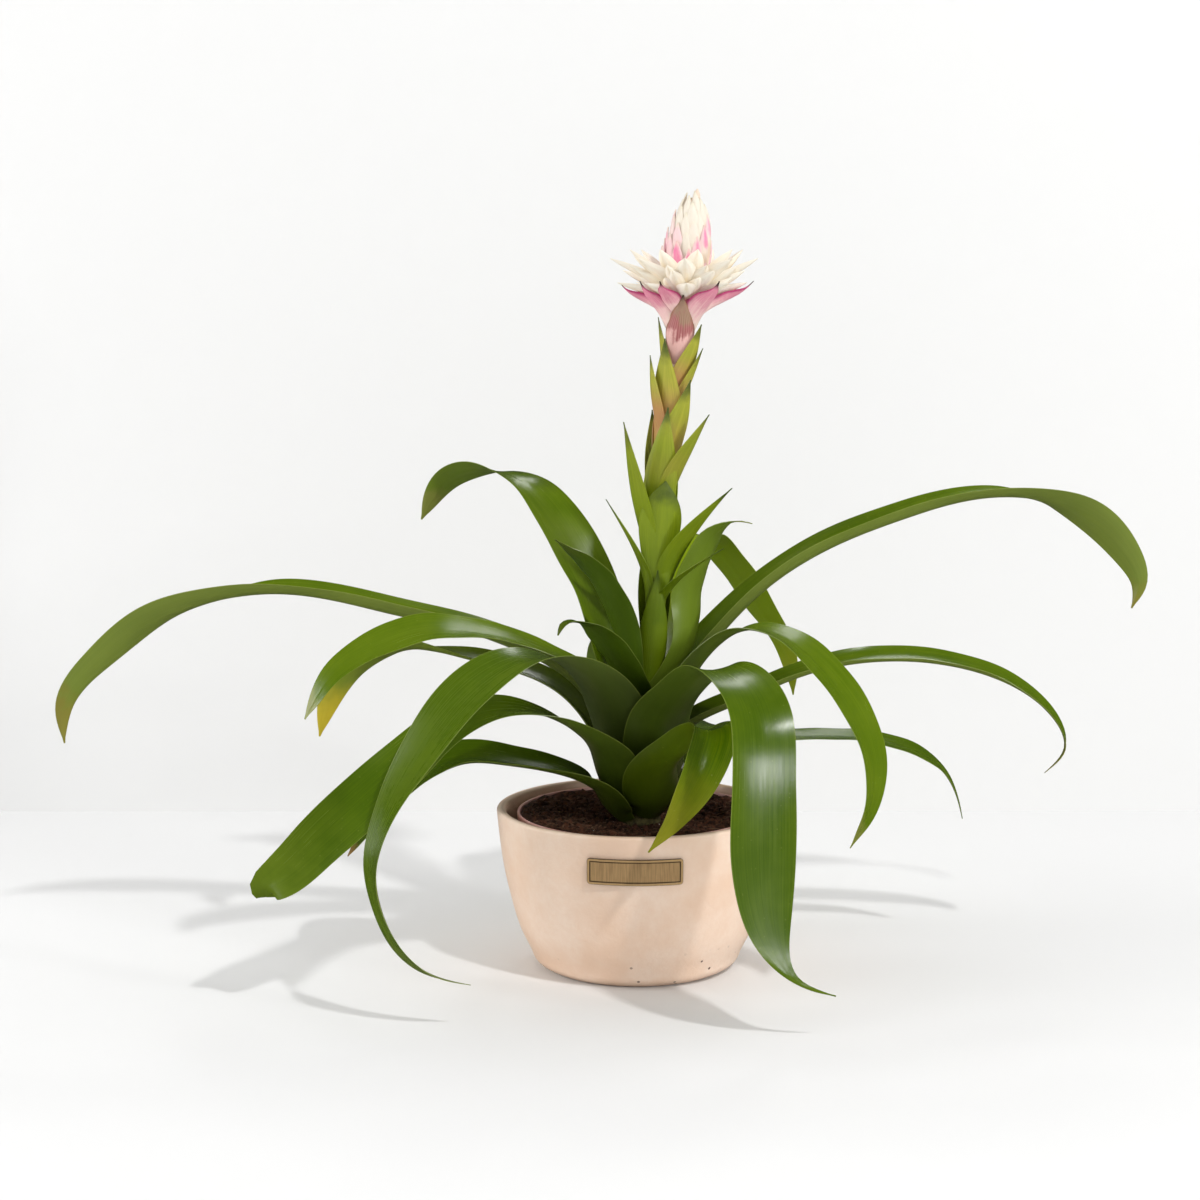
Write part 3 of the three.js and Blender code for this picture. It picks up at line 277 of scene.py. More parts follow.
HEAD_BRACTS = (
    Bract(361, 402, 264, 19, 10.8, belly=7, openness=0.35, outline=KITE_OUTLINE),
    Bract(366, 404, 95, 24, 10),
    Bract(374, 409, 207, 31, 9),
    Bract(374, 409, 302, 33, 10),
    Bract(378, 410, 48, 33, 9),
    Bract(380, 408, 176, 39, 8),
    Bract(380, 409, 4, 39, 8.5),
    Bract(381, 409, 240, 33, 8),
    Bract(381, 410, 138, 34, 9),
    Bract(366, 403, 272, 10.5, 9, belly=3, openness=0.5),
)

def natural_spline(knots: Array, values: Array) -> Callable[[Array], Array]:
    """Natural cubic spline through one row of values at each knot.

    Args:
        knots: Rising positions.
        values: One row for each knot.

    Returns:
        A function from positions to rows of values.
    """
    knots = np.asarray(knots, float)
    values = np.asarray(values, float).reshape(len(knots), -1)
    steps = np.diff(knots)[:, None]
    size = len(knots)
    system = np.eye(size)
    right = np.zeros_like(values)
    slopes = np.diff(values, axis=0) / steps
    for i in range(1, size - 1):
        both = (steps[i - 1] + steps[i])[0]
        system[i, i - 1] = steps[i - 1, 0] / both
        system[i, i] = 2
        system[i, i + 1] = steps[i, 0] / both
        right[i] = 6 * (slopes[i] - slopes[i - 1]) / both
    bend = np.linalg.solve(system, right)

    def at(where: Array) -> Array:
        """Values at the given positions."""
        where = np.asarray(where, float)
        i = np.clip(np.searchsorted(knots, where) - 1, 0, size - 2)
        step = steps[i]
        b = (where[..., None] - knots[i][..., None]) / step
        a = 1 - b
        curve = ((a ** 3 - a) * bend[i] + (b ** 3 - b) * bend[i + 1]) * step ** 2 / 6
        return a * values[i] + b * values[i + 1] + curve

    return at


def profile(pairs: Points) -> Callable[[Array], Array]:
    """Spline through pairs of a position and a value, as a function that gives plain numbers."""
    table = np.array(pairs, float)
    inner = natural_spline(table[:, 0], table[:, 1])
    return lambda where: inner(where)[..., 0]


def unit(rows: Array) -> Array:
    """Rows scaled to length one."""
    return rows / np.linalg.norm(rows, axis=-1, keepdims=True)


def rolled(side: Array, upper: Array,
           degrees: Array | float) -> tuple[Array, Array]:
    """Side and upper normal, turned about the midrib."""
    turn = np.radians(degrees)
    return side * np.cos(turn) - upper * np.sin(turn), upper * np.cos(turn) + side * np.sin(turn)


def smoothstep(low: float, high: float, value: Array) -> Array:
    """Smooth rise from 0 at low to 1 at high."""
    share = np.clip((value - low) / (high - low), 0, 1)
    return share * share * (3 - 2 * share)


def between(start: float, end: float, share: Array | float) -> Array | float:
    """Number at a share of the way from start to end."""
    return start + (end - start) * share


def outwards(degrees: float) -> Array:
    """Level direction at an angle round the vertical axis."""
    return np.array([math.cos(math.radians(degrees)), math.sin(math.radians(degrees)), 0])


def square_to(along: Array, side: Array) -> Array:
    """Sides turned square to the directions along a midrib."""
    return unit(side - along * np.sum(side * along, axis=-1, keepdims=True))


def run_length(places: Array) -> Array:
    """Distance along a line of places, from its first one."""
    return np.concatenate([[0], np.cumsum(np.linalg.norm(np.diff(places, axis=0), axis=1))])


def new_object(name: str, data: bpy.types.ID) -> Thing:
    """New object in the scene."""
    thing = bpy.data.objects.new(name, data)
    bpy.context.scene.collection.objects.link(thing)
    return thing


@dataclass
class Midrib:
    """Frames along a blade: place, side, upper normal, half width, half angle and share."""

    place: Array
    side: Array
    upper: Array
    half_width: Array
    half: Array
    share: Array


class Shell:
    """Closed surfaces of one piece, gathered in millimetres."""

    def __init__(self) -> None:
        """Starts with no surface."""
        self.points: list[Array] = []
        self.flat: list[Array] = []
        self.marks: list[Array] = []
        self.faces: list[tuple[int, ...]] = []
        self.count = 0

    def loft(self, rings: Array, flat: Array | None = None,
             mark: Array | None = None, loop: bool = False, caps: bool = True) -> "Shell":
        """Adds a closed surface through rings of points, with its faces pointing outwards.

        Args:
            rings: Points by ring, place in the ring and axis.
            flat: UV of each point, or none.
            mark: One number for each point, or none.
            loop: Whether the last ring joins the first, in place of two end caps.
            caps: Whether open ends are capped.

        Returns:
            This shell.
        """
        size, around, _ = rings.shape
        index = np.arange(size * around).reshape(size, around)
        faces: list[tuple[int, ...]] = []
        for i in range(size if loop else size - 1):
            near, far = index[i], index[(i + 1) % size]
            for j in range(around):
                k = (j + 1) % around
                faces.append((near[j], near[k], far[k], far[j]))
        if caps and not loop:
            faces.append(tuple(index[0][::-1]))
            faces.append(tuple(index[-1]))
        points = rings.reshape(-1, 3)
        volume = 0.0
        for face in faces:
            corners = points[list(face)]
            for k in range(1, len(face) - 1):
                volume += float(np.dot(corners[0], np.cross(corners[k], corners[k + 1])))
        if volume < 0:
            faces = [face[::-1] for face in faces]
        self.faces.extend(tuple(int(v) + self.count for v in face) for face in faces)
        self.points.append(points)
        self.flat.append(np.zeros((len(points), 2)) if flat is None else flat.reshape(-1, 2))
        self.marks.append(np.ones(len(points)) if mark is None else mark.reshape(-1))
        self.count += len(points)
        return self

    def piece(self, name: str, finish: Material, weld: float = 0,
              crease: float = 50) -> Thing:
        """Makes the object.

        Args:
            name: The piece's name.
            finish: Its material.
            weld: Distance in metres within which points are merged, as on an axis, or 0 for none.
            crease: Faces that meet at more than this angle in degrees get a sharp edge.

        Returns:
            The new object, at the origin.
        """
        mesh = bpy.data.meshes.new(name)
        mesh.from_pydata((np.concatenate(self.points) * MM).tolist(), [], self.faces)
        corners = np.empty(len(mesh.loops), int)
        mesh.loops.foreach_get("vertex_index", corners)
        layer = mesh.uv_layers.new(name="blade")
        layer.data.foreach_set("uv", np.concatenate(self.flat)[corners].reshape(-1))
        mark = mesh.attributes.new("face_side", "FLOAT", "POINT")
        mark.data.foreach_set("value", np.concatenate(self.marks))
        if weld:
            work = bmesh.new()
            work.from_mesh(mesh)
            bmesh.ops.remove_doubles(work, verts=work.verts, dist=weld)
            work.to_mesh(mesh)
            work.free()
        mesh.polygons.foreach_set("use_smooth", [True] * len(mesh.polygons))
        mesh.set_sharp_from_angle(angle=math.radians(crease))
        mesh.materials.append(finish)
        return new_object(name, mesh)


def turned_rings(outline: Points, segments: int, centre_x: float = 0) -> Array:
    """Rings for a closed profile of [radius, z] turned about a vertical axis."""
    table = np.array(outline, float)
    angles = np.linspace(0, 2 * math.pi, segments, endpoint=False)[:, None]
    x = centre_x + table[:, 0] * np.cos(angles)
    y = table[:, 0] * np.sin(angles)
    return np.stack([x, y, np.broadcast_to(table[:, 1], x.shape)], axis=-1)


def arc(centre: tuple[float, float], radius: float, start: float, end: float,
        steps: int = 6) -> list[tuple[float, float]]:
    """Points of an arc between two angles in degrees."""
    angles = np.radians(np.linspace(start, end, steps + 1))
    return [(centre[0] + radius * math.cos(a), centre[1] + radius * math.sin(a)) for a in angles]


def settle(thing: Thing, slot: str, *nodes: str) -> Thing:
    """Hands a finished piece over: it rides on the body and stands for its nodes."""
    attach(thing, BODY)
    if nodes:
        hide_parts(*nodes)
    log.info("%s: %d faces for %s", thing.name, len(thing.data.polygons), ", ".join(nodes))
    return thing


def blade_rings(rib: Midrib, across: int, thickness: float, crease: float,
                wave: Array | None = None) -> tuple[Array, Array, Array]:
    """Rings of a curved blade that thins towards its margins.

    Args:
        rib: Frames along the blade.
        across: Strips across each face.
        thickness: Thickness at the midrib.
        crease: Depth of the groove along the midrib.
        wave: Lift of the margin at each station, for the left and the right one.

    Returns:
        The rings, their UVs and the mark of the upper face.
    """
    s = np.linspace(-1, 1, across + 1)
    angle = rib.half[:, None] * s
    radius = (rib.half_width / rib.half)[:, None]
    side, upper = rib.side[:, None, :], rib.upper[:, None, :]
    normal = upper * np.cos(angle)[..., None] - side * np.sin(angle)[..., None]
    top = rib.place[:, None, :] + side * (radius * np.sin(angle))[..., None]
    top = top + upper * (radius * (1 - np.cos(angle)))[..., None]
    narrow = np.minimum(rib.half_width / 6, 1)[:, None]
    lift = -crease * np.exp(-(s / 0.1) ** 2) * narrow
    if wave is not None:
        rise = np.abs(s) ** 3
        lift = lift + np.where(s < 0, wave[:, :1], wave[:, 1:]) * rise * narrow
    top = top + normal * lift[..., None]
    thick = thickness * (1 - 0.6 * np.abs(s) ** 4) * (0.45 + 0.55 * narrow)
    bottom = top - normal * thick[..., None]
    rings = np.concatenate([top, bottom[:, ::-1]], axis=1)
    u = np.broadcast_to((s + 1) / 2, angle.shape)
    v = np.broadcast_to(rib.share[:, None], angle.shape)
    flat = np.stack([np.concatenate([u, u[:, ::-1]], 1), np.concatenate([v, v], 1)], axis=-1)
    mark = np.concatenate([np.ones_like(u), np.zeros_like(u)], axis=1)
    return rings, flat, mark

class Bench:
    """Adds and wires the nodes of one tree."""

    def __init__(self, tree: Tree) -> None:
        """Works on the given tree."""
        self.tree = tree

    def feed(self, socket: Socket, value: object) -> None:
        """Links a socket to an input, or sets its value. A colour gets its alpha."""
        if isinstance(value, Socket):
            self.tree.links.new(value, socket)
        else:
            socket.default_value = (*value, 1) if socket.type == "RGBA" else value

    def add(self, kind: str, links: dict | None = None, **settings: object) -> bpy.types.Node:
        """Adds a node.

        Args:
            kind: Its type name.
            links: Input names or numbers, each with a socket to link or a value to set.
            settings: The node's own properties.

        Returns:
            The node.
        """
        node = self.tree.nodes.new(kind)
        for name, value in settings.items():
            setattr(node, name, value)
        for name, value in (links or {}).items():
            self.feed(node.inputs[name], value)
        return node

    def calc(self, operation: str, *values: object) -> Socket:
        """Output of a Math node over sockets or numbers."""
        return self.add("ShaderNodeMath", dict(enumerate(values)), operation=operation).outputs[0]

    def times(self, first: object, second: object, *plus: object) -> Socket:
        """Product of two values, with a third one added where it is given."""
        return self.calc("MULTIPLY_ADD" if plus else "MULTIPLY", first, second, *plus)

    def off_half(self, value: Socket) -> Socket:
        """Distance of a value from one half."""
        return self.calc("ABSOLUTE", self.calc("SUBTRACT", value, 0.5))

    def ramp(self, value: object, low: object, high: object, start: float = 0,
             end: float = 1) -> Socket:
        """Smooth rise from start at low to end at high."""
        links = {"Value": value, "From Min": low, "From Max": high, "To Min": start, "To Max": end}
        return self.add("ShaderNodeMapRange", links, interpolation_type="SMOOTHSTEP").outputs["Result"]

    def mix(self, share: object, first: object, second: object) -> Socket:
        """Colour between two colours."""
        node = self.add("ShaderNodeMix", data_type="RGBA")
        sockets = {socket.identifier: socket for socket in (*node.inputs, *node.outputs)}
        for name, value in (("Factor_Float", share), ("A_Color", first), ("B_Color", second)):
            self.feed(sockets[name], value)
        return sockets["Result_Color"]

    def split(self, vector: Socket) -> dict[str, Socket]:
        """A vector's parts by name."""
        node = self.add("ShaderNodeSeparateXYZ", {0: vector})
        return {socket.name: socket for socket in node.outputs}

    def noise(self, **links: object) -> Socket:
        """Grey noise."""
        return self.add("ShaderNodeTexNoise", links).outputs["Fac"]


FLOAT, VECTOR, INTEGER = "NodeSocketFloat", "NodeSocketVector", "NodeSocketInt"
GEOMETRY, SURFACE = "NodeSocketGeometry", "NodeSocketMaterial"
SORTS = {float: FLOAT, int: INTEGER}


class Group(Bench):
    """Node group with named inputs and outputs."""

    def __init__(self, name: str, kind: str, inputs: dict[str, object], *outputs: str) -> None:
        """Starts a group.

        Args:
            name: The group's name.
            kind: Its tree type.
            inputs: Default value by name, or the socket type of an input without one.
            outputs: Names of the outputs.
        """
        super().__init__(bpy.data.node_groups.new(name, kind))
        for label, value in inputs.items():
            sort = value if isinstance(value, str) else SORTS[type(value)]
            socket = self.tree.interface.new_socket(label, in_out="INPUT", socket_type=sort)
            if sort is not value:
                socket.default_value = value
        sort = FLOAT if kind == "ShaderNodeTree" else GEOMETRY
        for label in outputs:
            self.tree.interface.new_socket(label, in_out="OUTPUT", socket_type=sort)
        self.given = self.add("NodeGroupInput").outputs
        self.result = self.add("NodeGroupOutput").inputs

    def done(self, **results: Socket) -> Tree:
        """Wires the outputs and hands the tree over."""
        for name, socket in results.items():
            self.feed(self.result[name], socket)
        return self.tree

    def dressed(self, instances: Socket) -> Tree:
        """Makes instances real, gives them their finish and hands the tree over."""
        real = self.add("GeometryNodeRealizeInstances", {0: instances}).outputs[0]
        coated = self.add("GeometryNodeSetMaterial", {"Geometry": real, "Material": self.given["Finish"]})
        return self.done(Geometry=coated.outputs[0])


class Effects:
    """Shader groups that several finishes share."""

    def __init__(self) -> None:
        """Builds every group once."""
        self.veins = self.build_veins()
        self.margin = self.build_margin()
        self.mottle = self.build_mottle()
        self.flecks = self.build_flecks()

    def build_veins(self) -> Tree:
        """Fine parallel lines along a blade, and long soft streaks."""
        group = Group("parallel_veins", "ShaderNodeTree",
                      {"Flat": VECTOR, "Count": 30.0, "Waver": 0.4, "Stretch": 5.0}, "Ridge", "Streak")
        flat = group.split(group.given["Flat"])
        wide = group.times(flat["X"], group.given["Count"])
        long = group.times(flat["Y"], group.given["Stretch"])
        where = group.add("ShaderNodeCombineXYZ", {"X": wide, "Y": long}).outputs[0]
        streak = group.noise(Vector=where, Scale=0.8, Detail=3.0, Roughness=0.6)
        drift = group.times(streak, group.given["Waver"])
        phase = group.times(group.calc("ADD", wide, drift), math.pi)
        ridge = group.calc("POWER", group.calc("ABSOLUTE", group.calc("SINE", phase)), 0.6)
        return group.done(Ridge=ridge, Streak=group.ramp(streak, 0.3, 0.7))

    def build_margin(self) -> Tree:
        """Band along both margins of a blade."""
        group = Group("margin_band", "ShaderNodeTree", {"Flat": VECTOR, "Width": 0.05}, "Mask")
        across = group.split(group.given["Flat"])["X"]
        inside = group.calc("MINIMUM", across, group.calc("SUBTRACT", 1.0, across))
        return group.done(Mask=group.ramp(inside, 0.0, group.given["Width"], 1.0, 0.0))

    def build_mottle(self) -> Tree:
        """Cloudy mask."""
        group = Group("mottle", "ShaderNodeTree",
                      {"Vector": VECTOR, "Scale": 40.0, "Detail": 4.0, "Low": 0.35, "High": 0.65}, "Mask")
        given = group.given
        cloud = group.noise(Vector=given["Vector"], Scale=given["Scale"], Detail=given["Detail"],
                            Roughness=0.6)
        return group.done(Mask=group.ramp(cloud, given["Low"], given["High"]))

    def build_flecks(self) -> Tree:
        """Small round spots at scattered places."""
        group = Group("flecks", "ShaderNodeTree",
                      {"Vector": VECTOR, "Scale": 400.0, "Radius": 0.25, "Share": 0.4}, "Mask")
        given = group.given
        cells = group.add("ShaderNodeTexVoronoi", {"Vector": given["Vector"], "Scale": given["Scale"]})
        spot = group.ramp(cells.outputs["Distance"], 0.0, given["Radius"], 1.0, 0.0)
        draw = group.add("ShaderNodeSeparateColor", {0: cells.outputs["Color"]}).outputs[0]
        return group.done(Mask=group.times(spot, group.calc("LESS_THAN", draw, given["Share"])))


class Surface(Bench):
    """New material with a Principled shader, and the patterns that its places carry."""

    def __init__(self, name: str, effects: Effects | None = None) -> None:
        """Starts the material, with the shared groups where it needs them."""
        self.material = bpy.data.materials.new(name)
        self.material.use_nodes = True
        super().__init__(self.material.node_tree)
        self.effects = effects
        self.shader = self.tree.nodes["Principled BSDF"]
        self.place = self.add("ShaderNodeTexCoord").outputs["Object"]

    def apply(self, group: Tree, **links: object) -> bpy.types.bpy_prop_collection:
        """Outputs of a shared group."""
        return self.add("ShaderNodeGroup", links, node_tree=group).outputs

    def clouds(self, scale: float, low: float = 0.35, high: float = 0.65) -> Socket:
        """Cloudy mask."""
        return self.apply(self.effects.mottle, Vector=self.place, Scale=scale, Low=low, High=high)["Mask"]

    def specks(self, scale: float, radius: float, share: float) -> Socket:
        """Mask of small scattered spots."""
        flecks = self.effects.flecks
        return self.apply(flecks, Vector=self.place, Scale=scale, Radius=radius, Share=share)["Mask"]

    def mark(self, name: str = "face_side") -> Socket:
        """A number that the mesh carries."""
        return self.add("ShaderNodeAttribute", attribute_name=name).outputs["Fac"]

    def wire(self, **values: object) -> None:
        """Feeds the shader's inputs, named with underscores for spaces."""
        for name, value in values.items():
            self.feed(self.shader.inputs[name.replace("_", " ")], value)

    def finish(self, colour: Socket, roughness: object, height: Socket,
               relief: float, depth: float) -> Material:
        """Wires the colour, the roughness and a bump's height, strength and depth in metres."""
        bump = self.add("ShaderNodeBump", {"Strength": relief, "Distance": depth, "Height": height})
        self.wire(Base_Color=colour, Roughness=roughness, Normal=bump.outputs["Normal"])
        return self.material


class BladeSurface(Surface):
    """Material of a blade, with patterns that run across and along it."""

    def __init__(self, name: str, effects: Effects, veins: float, stretch: float = 5.0) -> None:
        """Starts the material with its number of veins and how fast their streaks change."""
        super().__init__(name, effects)
        self.flat = self.add("ShaderNodeUVMap", uv_map="blade").outputs["UV"]
        parts = self.split(self.flat)
        self.across, self.along = parts["X"], parts["Y"]
        lines = self.apply(effects.veins, Flat=self.flat, Count=veins, Stretch=stretch)
        self.ridge, self.streak = lines["Ridge"], lines["Streak"]

    def margins(self, width: float) -> Socket:
        """Mask of the blade's margins."""
        return self.apply(self.effects.margin, Flat=self.flat, Width=width)["Mask"]

    def petal(self, colour: Socket, relief: float) -> Material:
        """Finishes a thin petal: soft, with a faint glow of painted light in its own colour that lifts its
        shade.
        """
        # Painted light: the emission makes the petal glow faintly, though it is no lamp.
        self.wire(Emission_Color=colour, Emission_Strength=PAINTED_PETAL_GLOW)
        return self.finish(colour, 0.5, self.ridge, relief, VEIN_DEPTH)


@dataclass(frozen=True)
class LeafFinish:
    """Blade of a leaf: veined, with a paler underside, margin and tip."""

    upper: Colour
    fresh: Colour
    under: Colour
    tip: Colour
    margin: Colour = (0.3, 0.34, 0.07)
    base: Colour = (0.017, 0.027, 0.0003)
    tip_start: float = 0.86
    tip_strength: float = 0.5
    base_end: float = 0.42
    vein_count: float = 56.0
    roughness: float = 0.2
    gloss: float = 0.46
    relief: float = 0.12
    speckle: float = 0.2

    def material(self, name: str, effects: Effects) -> Material:
        """Builds the material.

        Args:
            name: The material's name.
            effects: The shared groups.

        Returns:
            The material.
        """
        s = BladeSurface(name, effects, self.vein_count)
        face, cloud = s.mark(), s.clouds(22.0)
        blend = s.times(s.streak, 0.55, s.times(cloud, 0.45))
        top = s.mix(blend, self.upper, self.fresh)
        top = s.mix(s.times(s.ridge, 0.16), top, self.upper)
        low = s.mix(s.times(s.ridge, 0.3), self.under, self.fresh)
        low = s.mix(s.times(blend, 0.3), low, self.upper)
        colour = s.mix(face, low, top)
        colour = s.mix(s.times(s.specks(420.0, 0.3, 0.1), self.speckle), colour, self.margin)
        colour = s.mix(s.ramp(s.along, 0.0, self.base_end, 0.85, 0.0), colour, self.base)
        ragged = s.times(cloud, 0.06, s.along)
        colour = s.mix(s.ramp(ragged, self.tip_start, 1.0, 0.0, self.tip_strength), colour, self.tip)
        colour = s.mix(s.times(s.margins(0.02), 0.28), colour, self.margin)
        rough = s.times(blend, 0.08, s.times(face, -0.1, self.roughness + 0.1))
        s.wire(Specular_IOR_Level=self.gloss)
        return s.finish(colour, rough, s.times(cloud, 0.6, s.ridge), self.relief, VEIN_DEPTH)


LEAF_FINISHES: dict[Tone, LeafFinish] = {
    Tone.DEEP: LeafFinish(
        (0.042, 0.085, 0.0002), (0.085, 0.14, 0.0005), (0.12, 0.18, 0.02), (0.12, 0.17, 0.01)),
    Tone.SATIN: LeafFinish(
        (0.05, 0.095, 0.0005), (0.095, 0.15, 0.002), (0.15, 0.2, 0.045), (0.2, 0.24, 0.06),
        roughness=0.24),
    Tone.SPECKLED: LeafFinish(
        (0.07, 0.14, 0.0005), (0.19, 0.27, 0.002), (0.07, 0.11, 0.002), (0.36, 0.3, 0.02),
        tip_start=0.7, tip_strength=0.6, base_end=0.5, speckle=0.7),
    Tone.DARK: LeafFinish(
        (0.025, 0.055, 0.0002), (0.05, 0.095, 0.0005), (0.07, 0.12, 0.005), (0.1, 0.12, 0.01)),
    Tone.FRESH: LeafFinish(
        (0.06, 0.11, 0.0005), (0.11, 0.17, 0.001), (0.2, 0.25, 0.04), (0.24, 0.15, 0.02),
        tip_start=0.95),
    Tone.PALE: LeafFinish(
        (0.07, 0.125, 0.0005), (0.12, 0.18, 0.003), (0.16, 0.23, 0.02), (0.26, 0.24, 0.06),
        tip_start=0.95),
    # Painted backlight: paler, brighter greens stand in for light shining through the leaf.
    Tone.BACKLIT: LeafFinish(
        (0.16, 0.24, 0.0005), (0.21, 0.29, 0.001), (0.16, 0.24, 0.001), (0.25, 0.27, 0.01)),
    Tone.YELLOWING: LeafFinish(
        (0.075, 0.12, 0.001), (0.14, 0.19, 0.003), (0.18, 0.24, 0.02), (0.55, 0.42, 0.02),
        tip_start=0.84, tip_strength=0.9),
    Tone.DRY_TIP: LeafFinish(
        (0.035, 0.07, 0.0002), (0.065, 0.11, 0.0005), (0.1, 0.15, 0.01), (0.22, 0.12, 0.04),
        tip_start=0.95, tip_strength=0.95),
}


@dataclass(frozen=True)
class StalkFinish:
    """Scape and its bracts: yellow-green below, paling upwards, with blushing feet and green tips."""

    low: Colour = (0.1, 0.16, 0.0003)
    middle: Colour = (0.24, 0.31, 0.003)
    high: Colour = (0.46, 0.43, 0.045)
    blush: Colour = (0.52, 0.22, 0.1)
    tip: Colour = (0.05, 0.08, 0.01)

    def material(self, name: str, effects: Effects) -> Material:
        """Builds the material from its name and the shared groups."""
        s = BladeSurface(name, effects, 18.0, 3.0)
        height, cloud = s.split(s.place)["Z"], s.clouds(45.0)
        colour = s.mix(s.ramp(height, 0.2, 0.3), self.low, self.middle)
        colour = s.mix(s.ramp(height, 0.29, 0.355), colour, self.high)
        colour = s.mix(s.times(s.streak, 0.35), colour, self.low)
        colour = s.mix(s.times(cloud, 0.25), colour, self.middle)
        foot = s.times(s.ramp(s.along, 0.25, 0.72, 0.85, 0.0), s.ramp(height, 0.28, 0.335))
        colour = s.mix(foot, colour, self.blush)
        colour = s.mix(s.ramp(s.times(cloud, 0.1, s.along), 0.82, 1.04, 0.0, 0.9), colour, self.tip)
        return s.finish(colour, 0.42, s.ridge, 0.35, VEIN_DEPTH)


@dataclass(frozen=True)
class ConeFinish:
    """Scales of the head: cream, with a pink patch near the tip where each one's own mark says so."""

    cream: Colour = (0.7, 0.64, 0.54)
    foot: Colour = (0.7, 0.48, 0.35)
    blush: Colour = (0.78, 0.46, 0.52)
    patch: Colour = (0.74, 0.12, 0.32)
    crest: Colour = (0.71, 0.65, 0.48)

    def material(self, name: str, effects: Effects) -> Material:
        """Builds the material from its name and the shared groups."""
        s = BladeSurface(name, effects, 9.0, 2.0)
        own = s.mark("blush")
        colour = s.mix(s.ramp(s.along, 0.1, 0.5, 0.7, 0.0), self.cream, self.foot)
        above = s.ramp(s.along, 0.3, 0.62)
        middle = s.times(s.off_half(s.across), -1.7, 1.0)
        colour = s.mix(s.times(above, s.ramp(own, 0.3, 0.5, 0.0, 0.8)), colour, self.blush)
        ragged = s.times(s.clouds(120.0), 0.35, s.times(above, middle))
        vivid = s.times(s.ramp(ragged, 0.45, 1.0), s.ramp(own, 0.5, 0.75, 0.0, 0.95))
        colour = s.mix(vivid, colour, self.patch)
        colour = s.mix(s.times(s.streak, 0.35), colour, self.cream)
        colour = s.mix(s.ramp(s.along, 0.8, 1.0, 0.0, 0.6), colour, self.crest)
        return s.petal(colour, 0.3)


@dataclass(frozen=True)
class PetalFinish:
    """Cream petals of the head: a yellowish streak along the middle, long streaks of painted shade and thin
    pale margins.
    """

    cream: Colour = (0.86, 0.81, 0.7)
    streak: Colour = (0.8, 0.65, 0.4)
    painted_shade: Colour = (0.78, 0.64, 0.5)

    def material(self, name: str, effects: Effects) -> Material:
        """Builds the material from its name and the shared groups."""
        s = BladeSurface(name, effects, 11.0, 2.5)
        middle = s.ramp(s.off_half(s.across), 0.0, 0.3, 0.6, 0.0)
        colour = s.mix(s.times(middle, s.clouds(90.0)), self.cream, self.streak)
        # Painted shade in long streaks over each petal.
        colour = s.mix(s.times(s.streak, 0.35), colour, self.painted_shade)
        colour = s.mix(s.ramp(s.along, 0.0, 0.4, 0.5, 0.0), colour, self.streak)
        return s.petal(colour, 0.3)


@dataclass(frozen=True)
class BlushFinish:
    """Bract of the head: pale foot, streaked blush, stronger margins and a dark thin tip."""

    foot: Colour = (0.86, 0.68, 0.58)
    body: Colour = (0.84, 0.52, 0.52)
    blush: Colour = (0.62, 0.09, 0.24)
    edge: Colour = (0.4, 0.02, 0.13)
    tip: Colour = (0.04, 0.02, 0.015)
    body_from: float = 0.35
    body_to: float = 0.65
    blush_from: float = 0.6
    blush_to: float = 0.93
    tip_start: float = 0.86

    def material(self, name: str, effects: Effects) -> Material:
        """Builds the material from its name and the shared groups."""
        s = BladeSurface(name, effects, 16.0, 2.0)
        ragged = s.times(s.clouds(80.0, 0.3, 0.75), 0.2, s.times(s.streak, 0.15, s.along))
        colour = s.mix(s.ramp(ragged, self.body_from, self.body_to), self.foot, self.body)
        colour = s.mix(s.ramp(ragged, self.blush_from, self.blush_to, 0.0, 0.95), colour, self.blush)
        colour = s.mix(s.times(s.ridge, 0.3), colour, self.foot)
        high = s.ramp(s.along, 0.35, 0.6, 0.1, 1.0)
        colour = s.mix(s.times(s.margins(0.2), high), colour, self.edge)
        colour = s.mix(s.ramp(s.along, self.tip_start, self.tip_start + 0.1), colour, self.tip)
        return s.petal(colour, 0.35)


DULL_BLUSH = BlushFinish((0.72, 0.42, 0.38), (0.26, 0.035, 0.04), (0.2, 0.13, 0.05), (0.26, 0.13, 0.06),
                         (0.05, 0.03, 0.02), 0.46, 0.64, 0.71, 0.89, 0.88)


@dataclass(frozen=True)
class CeramicFinish:
    """Matt blush clay body, faintly clouded, with dark pinholes near the foot and painted shade on the
    inside of the bowl.
    """

    clay: Colour = (0.8, 0.57, 0.42)
    cloud: Colour = (0.86, 0.68, 0.55)
    painted_shade: Colour = (0.42, 0.28, 0.18)
    pinhole: Colour = (0.12, 0.07, 0.05)

    def material(self, name: str, effects: Effects) -> Material:
        """Builds the material from its name and the shared groups."""
        s = Surface(name, effects)
        where = s.split(s.place)
        broad, fine = s.clouds(26.0, 0.3, 0.7), s.clouds(300.0, 0.3, 0.7)
        colour = s.mix(broad, self.clay, self.cloud)
        colour = s.mix(s.times(fine, 0.3), colour, self.clay)
        low = s.ramp(where["Z"], 0.014, 0.024, 1.0, 0.0)
        right = s.ramp(where["X"], -0.02, 0.01, 0.1, 1.0)
        spots = s.times(s.ramp(s.specks(190.0, 0.26, 0.3), 0.1, 0.5), s.times(low, right))
        colour = s.mix(spots, colour, self.pinhole)
        # Painted shade: the inside of the bowl, where the mark is 0, is darkened towards the painted shade
        # colour.
        colour = s.mix(s.ramp(s.mark(), 0.0, 1.0, 0.75, 0.0), colour, self.painted_shade)
        height = s.calc("SUBTRACT", s.times(broad, 0.4, fine), s.times(spots, 4.0))
        return s.finish(colour, 0.42, height, 0.25, 0.0004)


